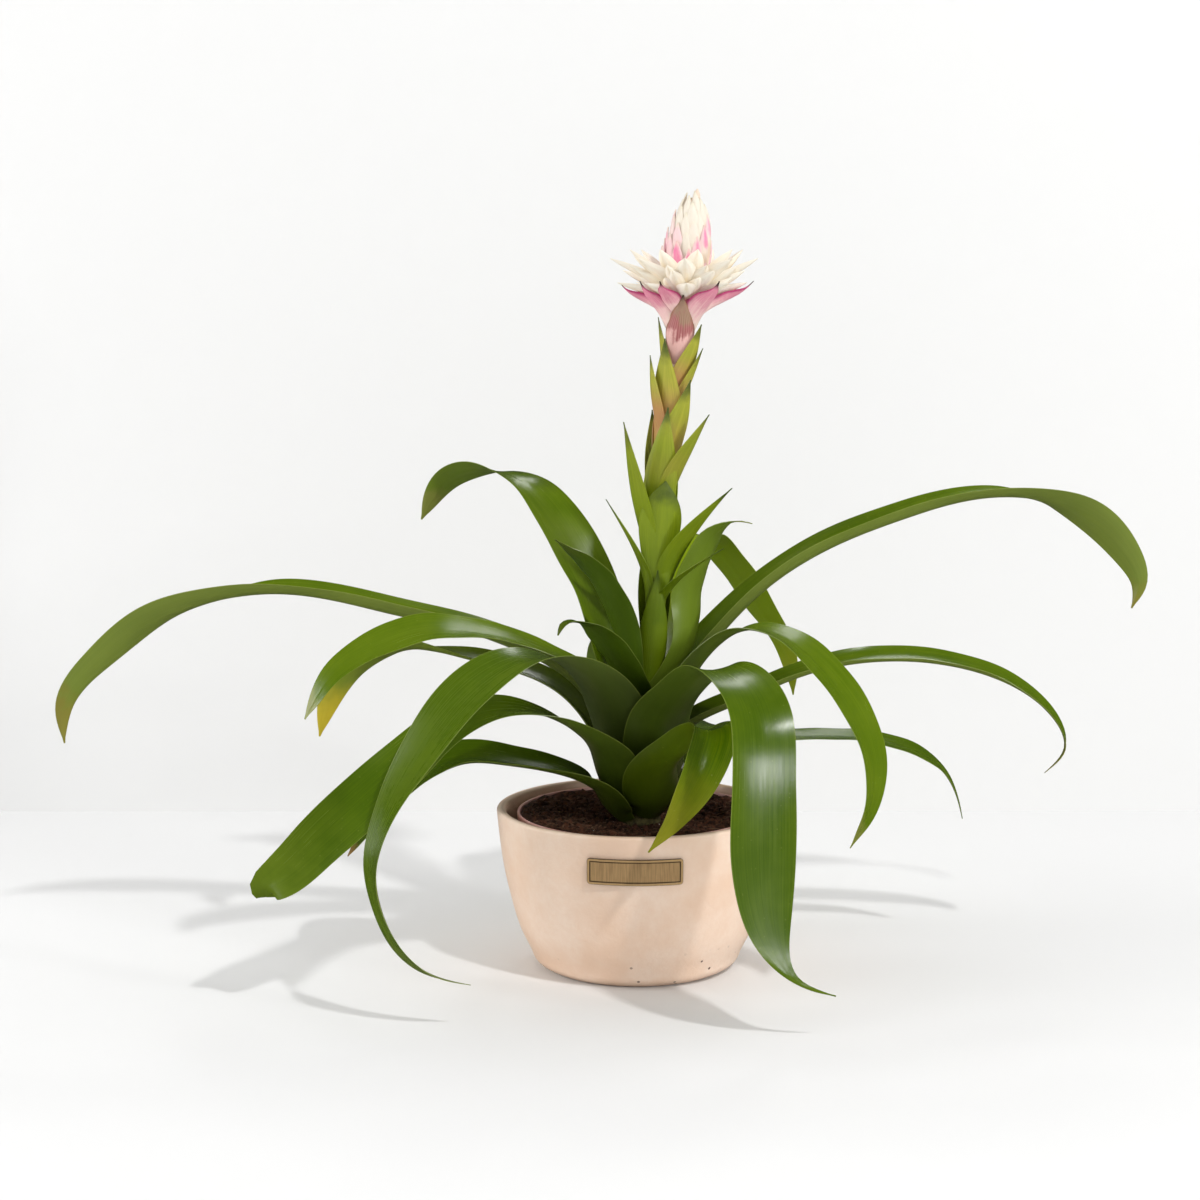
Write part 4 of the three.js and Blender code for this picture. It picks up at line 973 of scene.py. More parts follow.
@dataclass(frozen=True)
class BrassFinish:
    """Antique brushed brass with a darker field and a brighter edge, and near-black painted shade in the
    groove inside the border and on the plaque's sides.
    """

    bright: Colour = (0.72, 0.47, 0.22)
    dark: Colour = (0.44, 0.26, 0.12)
    groove: Colour = (0.05, 0.03, 0.015)
    brushing: Colour = (1300.0, 60.0, 70.0)

    def material(self, name: str, effects: Effects) -> Material:
        """Builds the material from its name and the shared groups."""
        s = Surface(name, effects)
        edge = s.mark()
        brushed = s.add("ShaderNodeMapping", {"Vector": s.place, "Scale": self.brushing}).outputs[0]
        lines = s.noise(Vector=brushed, Scale=1.0, Detail=3.0)
        tarnish = s.times(s.clouds(90.0, 0.3, 0.8), 0.3, s.times(s.ramp(lines, 0.3, 0.7), 0.6))
        colour = s.mix(s.times(tarnish, s.ramp(edge, 0.6, 1.0, 1.0, 0.2)), self.bright, self.dark)
        # Painted shade: near black where the mark is one half, in the groove inside the border and on the
        # plaque's sides.
        colour = s.mix(s.ramp(s.off_half(edge), 0.1, 0.4, 0.9, 0.0), colour, self.groove)
        s.wire(Metallic=0.45)
        return s.finish(colour, s.times(tarnish, 0.25, 0.3), lines, 0.3, 0.0001)


@dataclass(frozen=True)
class PlasticFinish:
    """Thin satin pot plastic with faint moulding scuffs."""

    tint: Colour = (0.55, 0.28, 0.24)
    scuff: Colour = (0.66, 0.42, 0.37)

    def material(self, name: str, effects: Effects) -> Material:
        """Builds the material from its name and the shared groups."""
        s = Surface(name, effects)
        scuffs = s.clouds(90.0, 0.5, 0.8)
        colour = s.mix(scuffs, self.tint, self.scuff)
        return s.finish(colour, s.times(scuffs, 0.2, 0.42), s.clouds(700.0), 0.15, 0.0001)


@dataclass(frozen=True)
class PeatFinish:
    """Peat, dark and fibrous, with colour that shifts from crumb to crumb."""

    dark: Colour
    light: Colour
    grain: float = 260.0
    roughness: float = 0.95

    def material(self, name: str, effects: Effects) -> Material:
        """Builds the material from its name and the shared groups."""
        s = Surface(name, effects)
        fine = s.clouds(4 * self.grain)
        colour = s.mix(s.clouds(self.grain), self.dark, self.light)
        s.wire(Specular_IOR_Level=0.2)
        return s.finish(s.mix(s.times(fine, 0.4), colour, self.dark), self.roughness, fine, 0.6, 0.0006)


PEAT = PeatFinish((0.018, 0.006, 0.0025), (0.085, 0.03, 0.013))
FIBRE = PeatFinish((0.04, 0.019, 0.009), (0.15, 0.08, 0.045), grain=120.0)
GRIT = PeatFinish((0.45, 0.4, 0.34), (0.62, 0.58, 0.52))
CROWN_BARK = PeatFinish((0.05, 0.04, 0.015), (0.14, 0.12, 0.04), roughness=0.7)


SCAPE_LINE: Points = (
    (150, 3), (170, 6.5), (195, 9), (230, 10.8), (280, 13), (315, 17), (345, 21), (378, 25.5),
    (405, 28.5), (460, 34.5))
scape_x = profile(SCAPE_LINE)


def trunk_rings(levels: Points, around: int) -> Array:
    """Rings round the scape's line for pairs of a height and a radius."""
    table = np.array(levels, float)
    angles = np.linspace(0, 2 * math.pi, around, endpoint=False)
    x = scape_x(table[:, 0])[:, None] + table[:, 1:] * np.cos(angles)
    y = table[:, 1:] * np.sin(angles)
    return np.stack([x, y, np.broadcast_to(table[:, :1], x.shape)], axis=-1)


@dataclass
class Planter:
    """Round bowl on a small foot, open at the top."""

    height: float = 96
    wall: float = 5.2
    floor: float = 7
    rim_round: float = 1.6
    floor_round: float = 5
    foot: Points = ((0, 0.8), (44, 0.8), (45.5, 0.2), (46.5, 0), (52.6, 0), (53.6, 0.3))
    flank: Points = (
        (54, 0), (59.5, 3), (62.8, 8), (68.3, 19.5), (74.5, 38), (79, 57), (81.8, 75), (84, 96))
    levels: int = 48
    segments: int = 160

    def radius(self, z: Array) -> Array:
        """Outer radius at a height."""
        return profile(tuple((up, out) for out, up in self.flank))(np.asarray(z, float))

    def outline(self) -> tuple[list[tuple[float, ...]], list[float]]:
        """Closed profile of radius and height, and the mark that is 1 outside and 0 inside, where the
        finish paints shade.
        """
        top = self.height - self.rim_round
        rise = top * np.linspace(0, 1, self.levels) ** 1.4
        edge = float(self.radius(top))
        inner = edge - self.wall
        outside = [*self.foot, *((float(self.radius(z)), float(z)) for z in rise[1:])]
        outside += arc((edge - self.rim_round, top), self.rim_round, 0, 90)[1:]
        inside = arc((inner + self.rim_round, top), self.rim_round, 90, 180)
        upper = [z for z in rise[::-1] if self.floor + self.floor_round + 1 < z < top]
        inside += [(float(self.radius(z)) - self.wall, float(z)) for z in upper]
        corner = float(self.radius(self.floor)) - self.wall - 4
        inside += arc((corner, self.floor + self.floor_round), self.floor_round, 0, -90) + [(0, self.floor)]
        return outside + inside, [1.0] * len(outside) + [0.0] * len(inside)

    def build(self, effects: Effects) -> Thing:
        """Makes the bowl."""
        outline, marks = self.outline()
        rings = turned_rings(tuple(outline), self.segments)
        shell = Shell().loft(rings, mark=np.broadcast_to(np.array(marks), rings.shape[:2]), loop=True)
        bowl = shell.piece("planter_bowl", CeramicFinish().material("blush_clay", effects), weld=WELD)
        return settle(bowl, "planter", "planter")


@dataclass
class Plaque:
    """Bare plaque with a raised border, bent to the planter's front."""

    planter: Planter
    width: float = 56
    height: float = 15.5
    thickness: float = 1.7
    corner: float = 1.8
    centre_x: float = -2
    centre_z: float = 75.5
    border: float = 1.3
    recess: float = 0.45
    along: int = 40
    weld: float = 8e-5

    def loop(self, inset: float) -> Array:
        """Flat outline at an inset, as places across and up."""
        corner = max(self.corner - inset, 0.02)
        x = self.width / 2 - inset - corner
        z = max(self.height / 2 - inset - corner, 0)
        places: list[tuple[float, float]] = []
        for start, (cx, cz) in enumerate(((x, z), (-x, z), (-x, -z), (x, -z))):
            places += arc((cx, cz), corner, 90 * start, 90 * start + 90, 5)
            if start in (0, 2):
                side = corner if start == 0 else -corner
                places += [(a, cz + side) for a in np.linspace(cx, -cx, self.along)[1:-1]]
        return np.array(places)

    def place(self, flat: Array, out: float) -> Array:
        """Places on the planter's front, at a distance from its wall."""
        z = self.centre_z + flat[:, 1]
        radius = self.planter.radius(z) + GAP + out
        angle = (self.centre_x + flat[:, 0]) / radius
        return np.stack([radius * np.sin(angle), -radius * np.cos(angle), z], axis=-1)

    def build(self, effects: Effects) -> Thing:
        """Makes the plaque, from steps of an inset, a distance from the wall and a mark: 1 on the bright
        border, one half where painted shade goes, 0 on the field.
        """
        deep, face = self.height / 2 - 0.03, self.thickness
        field_at = face - self.recess
        steps = [(deep, 0, 0), (5, 0, 0), (0.1, 0, 0.5), (0, 0.15, 0.5), (0, face - 0.3, 0.5),
                 (0.1, face - 0.08, 0.5), (0.3, face, 1), (self.border, face, 1),
                 (self.border + 0.2, face - 0.12, 0.5), (self.border + 0.6, field_at, 0.5),
                 (self.border + 1, field_at, 0), (3, field_at, 0), (5, field_at, 0), (deep, field_at, 0)]
        rings = np.stack([self.place(self.loop(inset), out) for inset, out, _ in steps])
        mark = np.repeat(np.array([[bright] for _, _, bright in steps], float), rings.shape[1], axis=1)
        shell = Shell().loft(rings, mark=mark, caps=False)
        plaque = shell.piece("brass_plaque", BrassFinish().material("aged_brass", effects), weld=self.weld)
        return settle(plaque, "plate", "plate")


@dataclass
class NurseryPot:
    """Thin tapered pot with a lip, and drain holes in its floor."""

    rim_radius: float = 71.7
    shoulder_radius: float = 69.6
    base_radius: float = 45
    bottom: float = 7.3
    top: float = 93.6
    wall: float = 1.6
    lip_height: float = 7
    holes: int = 6
    hole_radius: float = 4
    hole_circle: float = 29
    hole_segments: int = 20
    segments: int = 120

    def build(self, effects: Effects) -> Thing:
        """Makes the pot and cuts its holes."""
        finish = PlasticFinish().material("pink_plastic", effects)
        lip, half = self.top - self.lip_height, self.wall / 2
        inner, floor = self.rim_radius - self.wall, self.bottom + self.wall
        base, shoulder = self.base_radius, self.shoulder_radius
        outline = [(0, self.bottom), (base - 1, self.bottom), (base, self.bottom + 1),
                   (shoulder, lip - 1), (self.rim_radius - 0.4, lip),
                   *arc((self.rim_radius - half, self.top - half), half, 0, 180, 8),
                   (inner, lip + 0.5), (inner - 0.4, lip - 0.5), (shoulder - self.wall, lip - 2.2),
                   (base - self.wall, floor), (0, floor)]
        shell = Shell().loft(turned_rings(tuple(outline), self.segments), loop=True)
        pot = shell.piece("growers_pot", finish, weld=WELD)
        drills = Shell()
        ring = turned_rings(((self.hole_radius, 0),), self.hole_segments)[:, 0]
        for i in range(self.holes):
            centre = self.hole_circle * outwards(360 * (i + 0.5) / self.holes)
            drills.loft(np.stack([ring + centre + [0, 0, z] for z in (self.bottom - 3, self.bottom + 5)]))
        drill = drills.piece("drain_drills", finish)
        cut = pot.modifiers.new("drain holes", "BOOLEAN")
        cut.operation = "DIFFERENCE"
        cut.object = drill
        mesh = plain_mesh(pot)
        pot.modifiers.clear()
        pot.data = mesh
        bpy.data.objects.remove(drill)
        return settle(pot, "nursery_pot", "nursery_pot")


def plain_mesh(thing: Thing) -> bpy.types.Mesh:
    """New plain mesh of a piece with its modifiers applied."""
    return bpy.data.meshes.new_from_object(thing.evaluated_get(bpy.context.evaluated_depsgraph_get()))


def grow(name: str, host: Thing, tree: Tree,
         values: dict[str, object]) -> Thing:
    """Makes a piece from a tree of geometry nodes.

    Args:
        name: The new piece's name.
        host: The object whose mesh the tree starts from.
        tree: The tree.
        values: Value of each named input.

    Returns:
        The new object, a plain mesh.
    """
    modifier = host.modifiers.new(name, "NODES")
    modifier.node_group = tree
    for item in tree.interface.items_tree:
        if item.in_out == "INPUT" and item.name in values:
            modifier[item.identifier] = values[item.name]
    mesh = plain_mesh(host)
    mesh.name = name
    host.modifiers.remove(modifier)
    return new_object(name, mesh)


class LitterShape(Enum):
    """What lies on the peat."""

    CRUMB = "crumb"
    FIBRE = "fibre"


@dataclass(frozen=True)
class Litter:
    """One kind of small things strewn on the peat, its sizes in metres."""

    name: str
    shape: LitterShape
    density: float
    smallest: float
    largest: float
    seed: int
    finish: PeatFinish


@dataclass
class Soil:
    """Peat body with a rough top, crumbs, fibres and grit."""

    pot: NurseryPot
    edge: float = 93
    centre: float = 86
    hollow: float = 1.6
    crown_x: float = 2
    crown_radius: float = 13
    crown_bottom: float = 64
    segments: int = 150
    rings: int = 46
    litters: tuple[Litter, ...] = (
        Litter("peat_crumbs", LitterShape.CRUMB, 90000, 0.0005, 0.0026, 3, PEAT),
        Litter("peat_fibres", LitterShape.FIBRE, 60000, 0.0016, 0.006, 5, FIBRE),
        Litter("pale_grit", LitterShape.CRUMB, 3500, 0.0003, 0.0008, 7, GRIT),
    )

    def height(self, x: Array, y: Array) -> Array:
        """Height of the rough top at a place."""
        reach = (np.hypot(x, y) / self.pot.rim_radius) ** self.hollow
        lumps = np.sin(0.21 * x + 1.3) * np.cos(0.17 * y - 0.4) + 0.6 * np.sin(0.37 * y + 0.23 * x)
        lumps = lumps + 0.4 * np.cos(0.52 * x - 0.31 * y + 2.1)
        fine = np.sin(1.3 * x + 0.8 * y) * np.cos(1.1 * y - 0.6 * x) + 0.7 * np.sin(2.3 * x - 1.9 * y + 0.5)
        return between(self.centre, self.edge, reach) + 0.8 * lumps + 0.28 * fine

    def body(self, effects: Effects) -> Thing:
        """Makes the peat's body, with the hole that the crown stands in."""
        angles = np.linspace(0, 2 * math.pi, self.segments, endpoint=False)
        pot, low, slack = self.pot, self.crown_bottom, 2 * GAP
        floor = pot.bottom + pot.wall + GAP
        edge = pot.rim_radius - pot.wall - 0.4 - slack
        lip = pot.top - pot.lip_height
        hole = self.crown_radius + GAP
        columns = [(self.crown_x, 0, low - GAP), (self.crown_x, 0.7 * hole, low + 1.2),
                   (self.crown_x, hole, low + 7.7), (self.crown_x, hole, low + 15)]
        for share in np.linspace(0, 1, self.rings):
            columns.append((self.crown_x * (1 - share), hole + (edge - hole) * share, None))
        columns += [(0, edge - 0.6, lip + GAP), (0, pot.shoulder_radius - pot.wall - slack - 1, lip - 3),
                    (0, pot.base_radius - pot.wall - slack, floor), (0, 0, floor)]
        rings = np.empty((self.segments, len(columns), 3))
        for j, (centre, radius, z) in enumerate(columns):
            x = centre + radius * np.cos(angles)
            y = radius * np.sin(angles)
            rings[:, j, 0] = x
            rings[:, j, 1] = y
            rings[:, j, 2] = self.height(x, y) if z is None else z
        return Shell().loft(rings, loop=True).piece("peat_body", PEAT.material("peat", effects), weld=WELD)

    def strewing(self, shape: LitterShape) -> Tree:
        """Tree that strews one shape over the upward faces.

        Args:
            shape: What is strewn.

        Returns:
            The tree, with inputs for its sizes, its seed and its finish.
        """
        group = Group(f"strew_{shape.value}", "GeometryNodeTree", {
            "Geometry": GEOMETRY, "Density": 1000.0, "Smallest": 0.001, "Largest": 0.002, "Lowest": 0.08,
            "Reach": 0.066, "Seed": 1, "Finish": SURFACE}, "Geometry")
        add, calc, given = group.add, group.calc, group.given
        normal = group.split(add("GeometryNodeInputNormal").outputs[0])
        where = group.split(add("GeometryNodeInputPosition").outputs[0])
        across = calc("SQRT", calc("ADD", calc("POWER", where["X"], 2.0), calc("POWER", where["Y"], 2.0)))
        high = calc("GREATER_THAN", where["Z"], given["Lowest"])
        near = calc("LESS_THAN", across, given["Reach"])
        flat = calc("GREATER_THAN", normal["Z"], 0.4)
        points = add("GeometryNodeDistributePointsOnFaces", {
            "Mesh": given["Geometry"], "Density": given["Density"], "Seed": given["Seed"],
            "Selection": group.times(flat, group.times(high, near))})
        if shape is LitterShape.CRUMB:
            ball = add("GeometryNodeMeshIcoSphere", {"Radius": 1.0, "Subdivisions": 1})
            rough = add("ShaderNodeTexNoise", {"Scale": 1.7})
            shift = add("ShaderNodeVectorMath", {0: rough.outputs["Color"], 1: (0.5, 0.5, 0.75)},
                        operation="SUBTRACT")
            item = add("GeometryNodeSetPosition", {
                "Geometry": ball.outputs["Mesh"], "Offset": shift.outputs[0]})
            tilt = (0.5, 0.5, math.pi)
        else:
            curl = add("GeometryNodeCurveQuadraticBezier", {
                "Resolution": 4, "Start": (-1.0, -0.1, 0.0), "Middle": (0.1, 0.5, 0.2),
                "End": (1.0, -0.2, 0.05)})
            ring = add("GeometryNodeCurvePrimitiveCircle", {"Resolution": 3, "Radius": 0.075})
            item = add("GeometryNodeCurveToMesh", {
                "Curve": curl.outputs[0], "Profile Curve": ring.outputs[0], "Fill Caps": True})
            tilt = (0.25, 0.25, math.pi)
        low = tuple(-angle for angle in tilt)
        turn = add("FunctionNodeRandomValue", {0: low, 1: tilt, "Seed": given["Seed"]},
                   data_type="FLOAT_VECTOR")
        size = add("FunctionNodeRandomValue", {
            2: given["Smallest"], 3: given["Largest"], "Seed": given["Seed"]}, data_type="FLOAT")
        strewn = add("GeometryNodeInstanceOnPoints", {
            "Points": points.outputs["Points"], "Instance": item.outputs[0], "Rotation": turn.outputs[0],
            "Scale": size.outputs[1]})
        return group.dressed(strewn.outputs[0])

    def build(self, effects: Effects) -> list[Thing]:
        """Makes the peat and what lies on it."""
        body = self.body(effects)
        made = [settle(body, "soil", "soil")]
        trees = {shape: self.strewing(shape) for shape in LitterShape}
        for litter in self.litters:
            thing = grow(litter.name, body, trees[litter.shape], {
                "Density": litter.density, "Smallest": litter.smallest, "Largest": litter.largest,
                "Seed": litter.seed, "Finish": litter.finish.material(litter.name, effects)})
            made.append(settle(thing, "soil"))
        return made


@dataclass
class Rosette:
    """Crown and the strap leaves seated on it."""

    blades: tuple[Blade, ...] = BLADES
    crown_x: float = 2
    crown_bottom: float = 64
    crown_collar: float = 86
    crown_top: float = 150
    crown_radius: float = 13
    crown_top_radius: float = 4.8
    crown_segments: int = 56
    scar_depth: float = 0.22
    scar_pitch: float = 2.1
    first_seat: float = 88.5
    seat_rise: float = 2.9
    seat_length: float = 12
    lean: tuple[float, float] = (46, 12)
    flare: tuple[float, float] = (1.5, 1.1)
    wrap: tuple[float, float] = (50, 68)
    thickness: float = 0.7
    groove: float = 0.22
    point: float = 0.5
    spacing: float = 3.4
    across: int = 14

    def radius(self, z: float) -> float:
        """Radius of the crown at a height."""
        share = max(z - self.crown_collar, 0) / (self.crown_top - self.crown_collar)
        return between(self.crown_radius, self.crown_top_radius, share)

    def midrib(self, blade: Blade, order: int) -> Midrib:
        """Frames along one leaf, from its seat on the crown to its tip.

        Args:
            blade: The leaf.
            order: Its place in the rosette, from the outermost.

        Returns:
            The frames.
        """
        inward = order / (len(self.blades) - 1)
        seat_z = self.first_seat + self.seat_rise * order
        lean = math.radians(between(*self.lean, inward))
        out = outwards(blade.azimuth)
        seat = out * (self.radius(seat_z) + GAP) + np.array([self.crown_x, 0, seat_z])
        rise = out * math.sin(lean) + np.array([0, 0, math.cos(lean)])
        knots = np.vstack([seat, seat + rise * self.seat_length, np.array(blade.route, float)])
        chord = run_length(knots)
        curve = natural_spline(chord, knots)
        fine = np.linspace(0, chord[-1], CURVE_SAMPLES)
        lengths = run_length(curve(fine))
        share = np.linspace(0, 1, int(lengths[-1] / self.spacing)) ** 0.97
        at = np.interp(share * lengths[-1], lengths, fine)
        step = 0.003 * chord[-1]
        place = curve(at)
        along = unit(curve(np.minimum(at + step, chord[-1])) - curve(np.maximum(at - step, 0)))
        heading = np.radians(between(blade.azimuth, blade.heading, smoothstep(0.05, 0.4, share)))
        side = square_to(along, np.stack([np.sin(heading), -np.cos(heading), 0 * heading], axis=-1))
        side, upper = rolled(side, np.cross(side, along), profile(blade.roll)(share)[:, None])
        half_width = np.maximum(blade.half_width * profile(blade.outline)(share), self.point)
        reach = between(*self.flare, inward) * np.hypot(place[:, 0] - self.crown_x, place[:, 1])
        wrap = np.minimum(half_width / reach, math.radians(between(*self.wrap, inward)))
        half = np.maximum(wrap, np.radians(profile(blade.channel)(share)))
        return Midrib(place, side, upper, half_width, half, share)

    def leaf(self, blade: Blade, order: int, finish: Material) -> Thing:
        """Makes one leaf in its finish."""
        rib = self.midrib(blade, order)
        calm = smoothstep(0.15, 0.4, rib.share)
        wave = np.stack([calm * 0.5 * np.sin((17 + order % 5) * rib.share + 1.3 * order + 2.1 * k)
                         + calm * 0.25 * np.sin((41 + order % 7) * rib.share + 0.7 * order + k)
                         for k in (0, 1)], axis=-1)
        shell = Shell().loft(*blade_rings(rib, self.across, self.thickness, self.groove, wave))
        return settle(shell.piece(f"strap_{blade.node}", finish), "leaf", blade.node)

    def crown(self, effects: Effects) -> Thing:
        """Makes the short stem, ringed with leaf scars."""
        r, low, top = self.crown_radius, self.crown_bottom, self.crown_top
        outline = [(0, low), (0.5 * r, low + 0.6), (0.8 * r, low + 2.6), (0.97 * r, low + 6), (r, low + 9)]
        for z in np.arange(low + 10, top - 1, 0.9):
            scar = self.scar_depth * (0.5 + 0.5 * math.sin(self.scar_pitch * z))
            outline.append((self.radius(z) - scar, float(z)))
        outline += [(self.crown_top_radius - 0.3, top - 0.3), (self.crown_top_radius - 1, top), (0, top)]
        shell = Shell().loft(turned_rings(tuple(outline), self.crown_segments, self.crown_x), loop=True)
        stem = shell.piece("rooted_crown", CROWN_BARK.material("crown_bark", effects), weld=WELD)
        return settle(stem, "crown", "crown")

    def build(self, effects: Effects) -> list[Thing]:
        """Makes the crown and every leaf."""
        finishes = {tone: kind.material(f"leaf_{tone.value}", effects)
                    for tone, kind in LEAF_FINISHES.items()}
        leaves = [self.leaf(blade, order, finishes[blade.tone]) for order, blade in enumerate(self.blades)]
        return [self.crown(effects), *leaves]


@dataclass
class Inflorescence:
    """Upright scape with its bracts, the pink bracts of the head, and the head of scales and spikes.

    Stations are those of a stalk bract, a head bract and a spike. Around counts the points round the
    scape, the sleeve and the cone.
    """

    radius: float = 4.4
    bottom: float = 150.3
    top: float = 396
    bracts: tuple[Bract, ...] = STALK_BRACTS
    head_bracts: tuple[Bract, ...] = HEAD_BRACTS
    bract_thickness: float = 0.9
    bract_across: int = 14
    stations: tuple[int, int, int] = (34, 44, 20)
    around: tuple[int, int, int] = (28, 36, 32)
    groove: float = 0.15
    sleeve: Points = ((357, 6.1), (368, 6.35), (380, 6.8), (388, 8), (396, 9.5))
    core: Points = (
        (396.3, 6), (404, 9.5), (415, 11.5), (429, 12), (440, 10), (450, 6), (457, 2.6), (460, 0.8))
    core_tip: Points = ((459, 1.9), (460, 1.3), (462, 0.4))
    scales: int = 46
    scale_heights: tuple[float, float] = (399.0, 442.0)
    scale_lengths: tuple[float, float] = (28, 20)
    scale_reach: float = 12
    scale_lean: float = 0.56
    scale_seed: int = 4
    fans: Points = ((180, 1.1), (224, 1), (264, 0.92), (306, 0.95), (358, 0.95), (52, 1), (96, 1), (138, 1))
    spikes: Points = ((-24, 0.7, 411, 5), (-12, 0.84, 415, 6.4), (0, 1, 422, 7), (12, 0.78, 427, 6.4),
                      (4, 0.88, 408, 6.2), (23, 0.82, 418, 5.4))
    spike_reach: float = 42
    spike_base: float = 399
    spike_thickness: float = 3.6

    def frames(self, bract: Bract, hold: Hold, stations: int) -> Midrib:
        """Frames of a bract that clasps the scape and points up and outwards.

        Args:
            bract: The bract.
            hold: How its kind sits on the scape.
            stations: Number of frames.

        Returns:
            The frames.
        """
        belly = hold.belly if bract.belly is None else bract.belly
        openness = hold.openness if bract.openness is None else bract.openness
        out = outwards(bract.azimuth)
        knots = ((0, hold.seat), (0.45, hold.seat + belly), (1, bract.reach))
        away = profile(knots if hold.hook == 1 else (*knots[:2], (0.82, bract.reach * hold.hook), knots[2]))
        share = np.linspace(0, 1, stations)

        def place_at(at: Array) -> Array:
            """Places on the midrib."""
            z = between(bract.base, bract.tip, at)
            return np.stack([scape_x(z), 0 * z, z], axis=-1) + out * away(at)[:, None]

        along = unit(place_at(np.minimum(share + 0.02, 1)) - place_at(np.maximum(share - 0.02, 0)))
        side = square_to(along, np.broadcast_to(np.array([out[1], -out[0], 0]), along.shape))
        half_width = np.maximum(bract.half_width * profile(bract.outline or hold.outline)(share), 0.4)
        half = np.minimum(half_width / (openness * away(share) + 2), math.radians(hold.clasp))
        side, upper = rolled(side, np.cross(side, along), bract.roll)
        return Midrib(place_at(share), side, upper, half_width, half, share)

    def add_bract(self, shell: Shell, bract: Bract, hold: Hold, stations: int) -> None:
        """Adds one bract to a shell."""
        rib = self.frames(bract, hold, stations)
        shell.loft(*blade_rings(rib, self.bract_across, self.bract_thickness, self.groove))

    def stalk(self, effects: Effects) -> list[Thing]:
        """Makes the scape and its bracts."""
        levels = [(float(z), self.radius) for z in np.linspace(self.bottom, self.top, 64)]
        stem = Shell().loft(trunk_rings(tuple(levels), self.around[0]))
        finish = StalkFinish().material("stalk_green", effects)
        leaves = Shell()
        for bract in self.bracts:
            self.add_bract(leaves, bract, STALK_HOLD, self.stations[0])
        made = (stem.piece("scape", finish), leaves.piece("scape_bracts", finish))
        return [settle(piece, "flower_stalk", "flower_stalk") for piece in made]

    def collar(self, effects: Effects) -> list[Thing]:
        """Makes the ring of pink bracts with the sleeve that carries them, and the dull bract."""
        outer = trunk_rings(self.sleeve, self.around[1])
        bore = trunk_rings(tuple((z, self.radius + GAP) for z, _ in self.sleeve[::-1]), self.around[1])
        rings = np.concatenate([outer, bore])
        pale_foot = np.full((*rings.shape[1::-1], 2), (0.5, 0.1))
        pink = Shell().loft(rings.transpose(1, 0, 2), flat=pale_foot, loop=True)
        dull = Shell()
        for bract in self.head_bracts:
            shell = dull if bract is self.head_bracts[0] else pink
            self.add_bract(shell, bract, HEAD_HOLD, self.stations[1])
        made = (pink.piece("pink_bracts", BlushFinish().material("pink_bract", effects)),
                dull.piece("dull_bract", DULL_BLUSH.material("dull_bract", effects)))
        return [settle(piece, "head_bracts", "head_bracts") for piece in made]

    def pod_rings(self, rib: Midrib, thickness: float, around: int = 12) -> tuple[Array, Array]:
        """Rings of a plump pointed petal with a keel, and their UVs."""
        angle = np.linspace(0, 2 * math.pi, around, endpoint=False)
        across, deep = np.cos(angle), np.sin(angle)
        fat = thickness / 2 * (rib.half_width / rib.half_width.max()) ** 0.8
        cup = 0.5 * rib.half_width[:, None] * (across ** 2 - 0.5)
        lift = fat[:, None] * deep * (1 - 0.7 * across ** 2) + cup
        rings = rib.place[:, None] + rib.side[:, None] * (rib.half_width[:, None] * across)[..., None]
        rings = rings + rib.upper[:, None] * lift[..., None]
        u = np.broadcast_to((across + 1) / 2, lift.shape)
        v = np.broadcast_to(rib.share[:, None], lift.shape)
        return rings, np.stack([u, v], axis=-1)

    def scale_item(self, finish: Material) -> Thing:
        """Makes one pointed scale that lies along +Z and faces +X, with a length of one metre."""
        share = np.array([0, 0.16, 0.34, 0.52, 0.7, 0.86, 1])
        half_width = 0.175 * np.array([0.7, 0.95, 1.05, 1, 0.76, 0.4, 0.04])
        belly = np.array([0, 0.04, 0.07, 0.085, 0.08, 0.055, 0.02])
        zero = 0 * share
        rib = Midrib(np.stack([belly, zero, share], axis=-1), np.stack([zero, zero - 1, zero], axis=-1),
                     np.stack([zero - 1, zero, zero], axis=-1), half_width, zero + 0.75, share)
        rings, flat, mark = blade_rings(rib, 6, 0.055, 0)
        return Shell().loft(rings / MM, flat, mark).piece("scale_item", finish, crease=80)

    def spiral(self) -> Tree:
        """Tree that sets scales on a cone in a spiral."""
        group = Group("cone_spiral", "GeometryNodeTree", {
            "Geometry": GEOMETRY, "Count": 40, "Turn": 2.4, "First": 0.4, "Last": 0.45, "Axis first": 0.03,
            "Axis last": 0.03, "Long": 0.018, "Short": 0.01, "Lean": 0.4, "Reach": 0.012, "Seed": 1,
            "Finish": SURFACE}, "Geometry")
        add, calc, times, given = group.add, group.calc, group.times, group.given
        line = add("GeometryNodeMeshLine", {"Count": given["Count"], "Offset": (0.0, 0.0, 0.001)})
        index = add("GeometryNodeInputIndex").outputs[0]
        share = calc("DIVIDE", index, calc("SUBTRACT", given["Count"], 1.0))
        angle = times(index, given["Turn"])
        curve = add("ShaderNodeFloatCurve", {"Value": share})
        points = curve.mapping.curves[0].points
        for place in (0.2, 0.4, 0.6, 0.8):
            points.new(place, self.fullness(place))
        points[0].location = (0, self.fullness(0))
        points[-1].location = (1, self.fullness(1))
        reach = calc("SUBTRACT", times(curve.outputs[0], given["Reach"]), 0.0012)

        def by_height(low: str, high: str) -> Socket:
            """Value between two inputs by the share of the height."""
            links = {"Value": share, "To Min": given[low], "To Max": given[high]}
            return add("ShaderNodeMapRange", links).outputs["Result"]

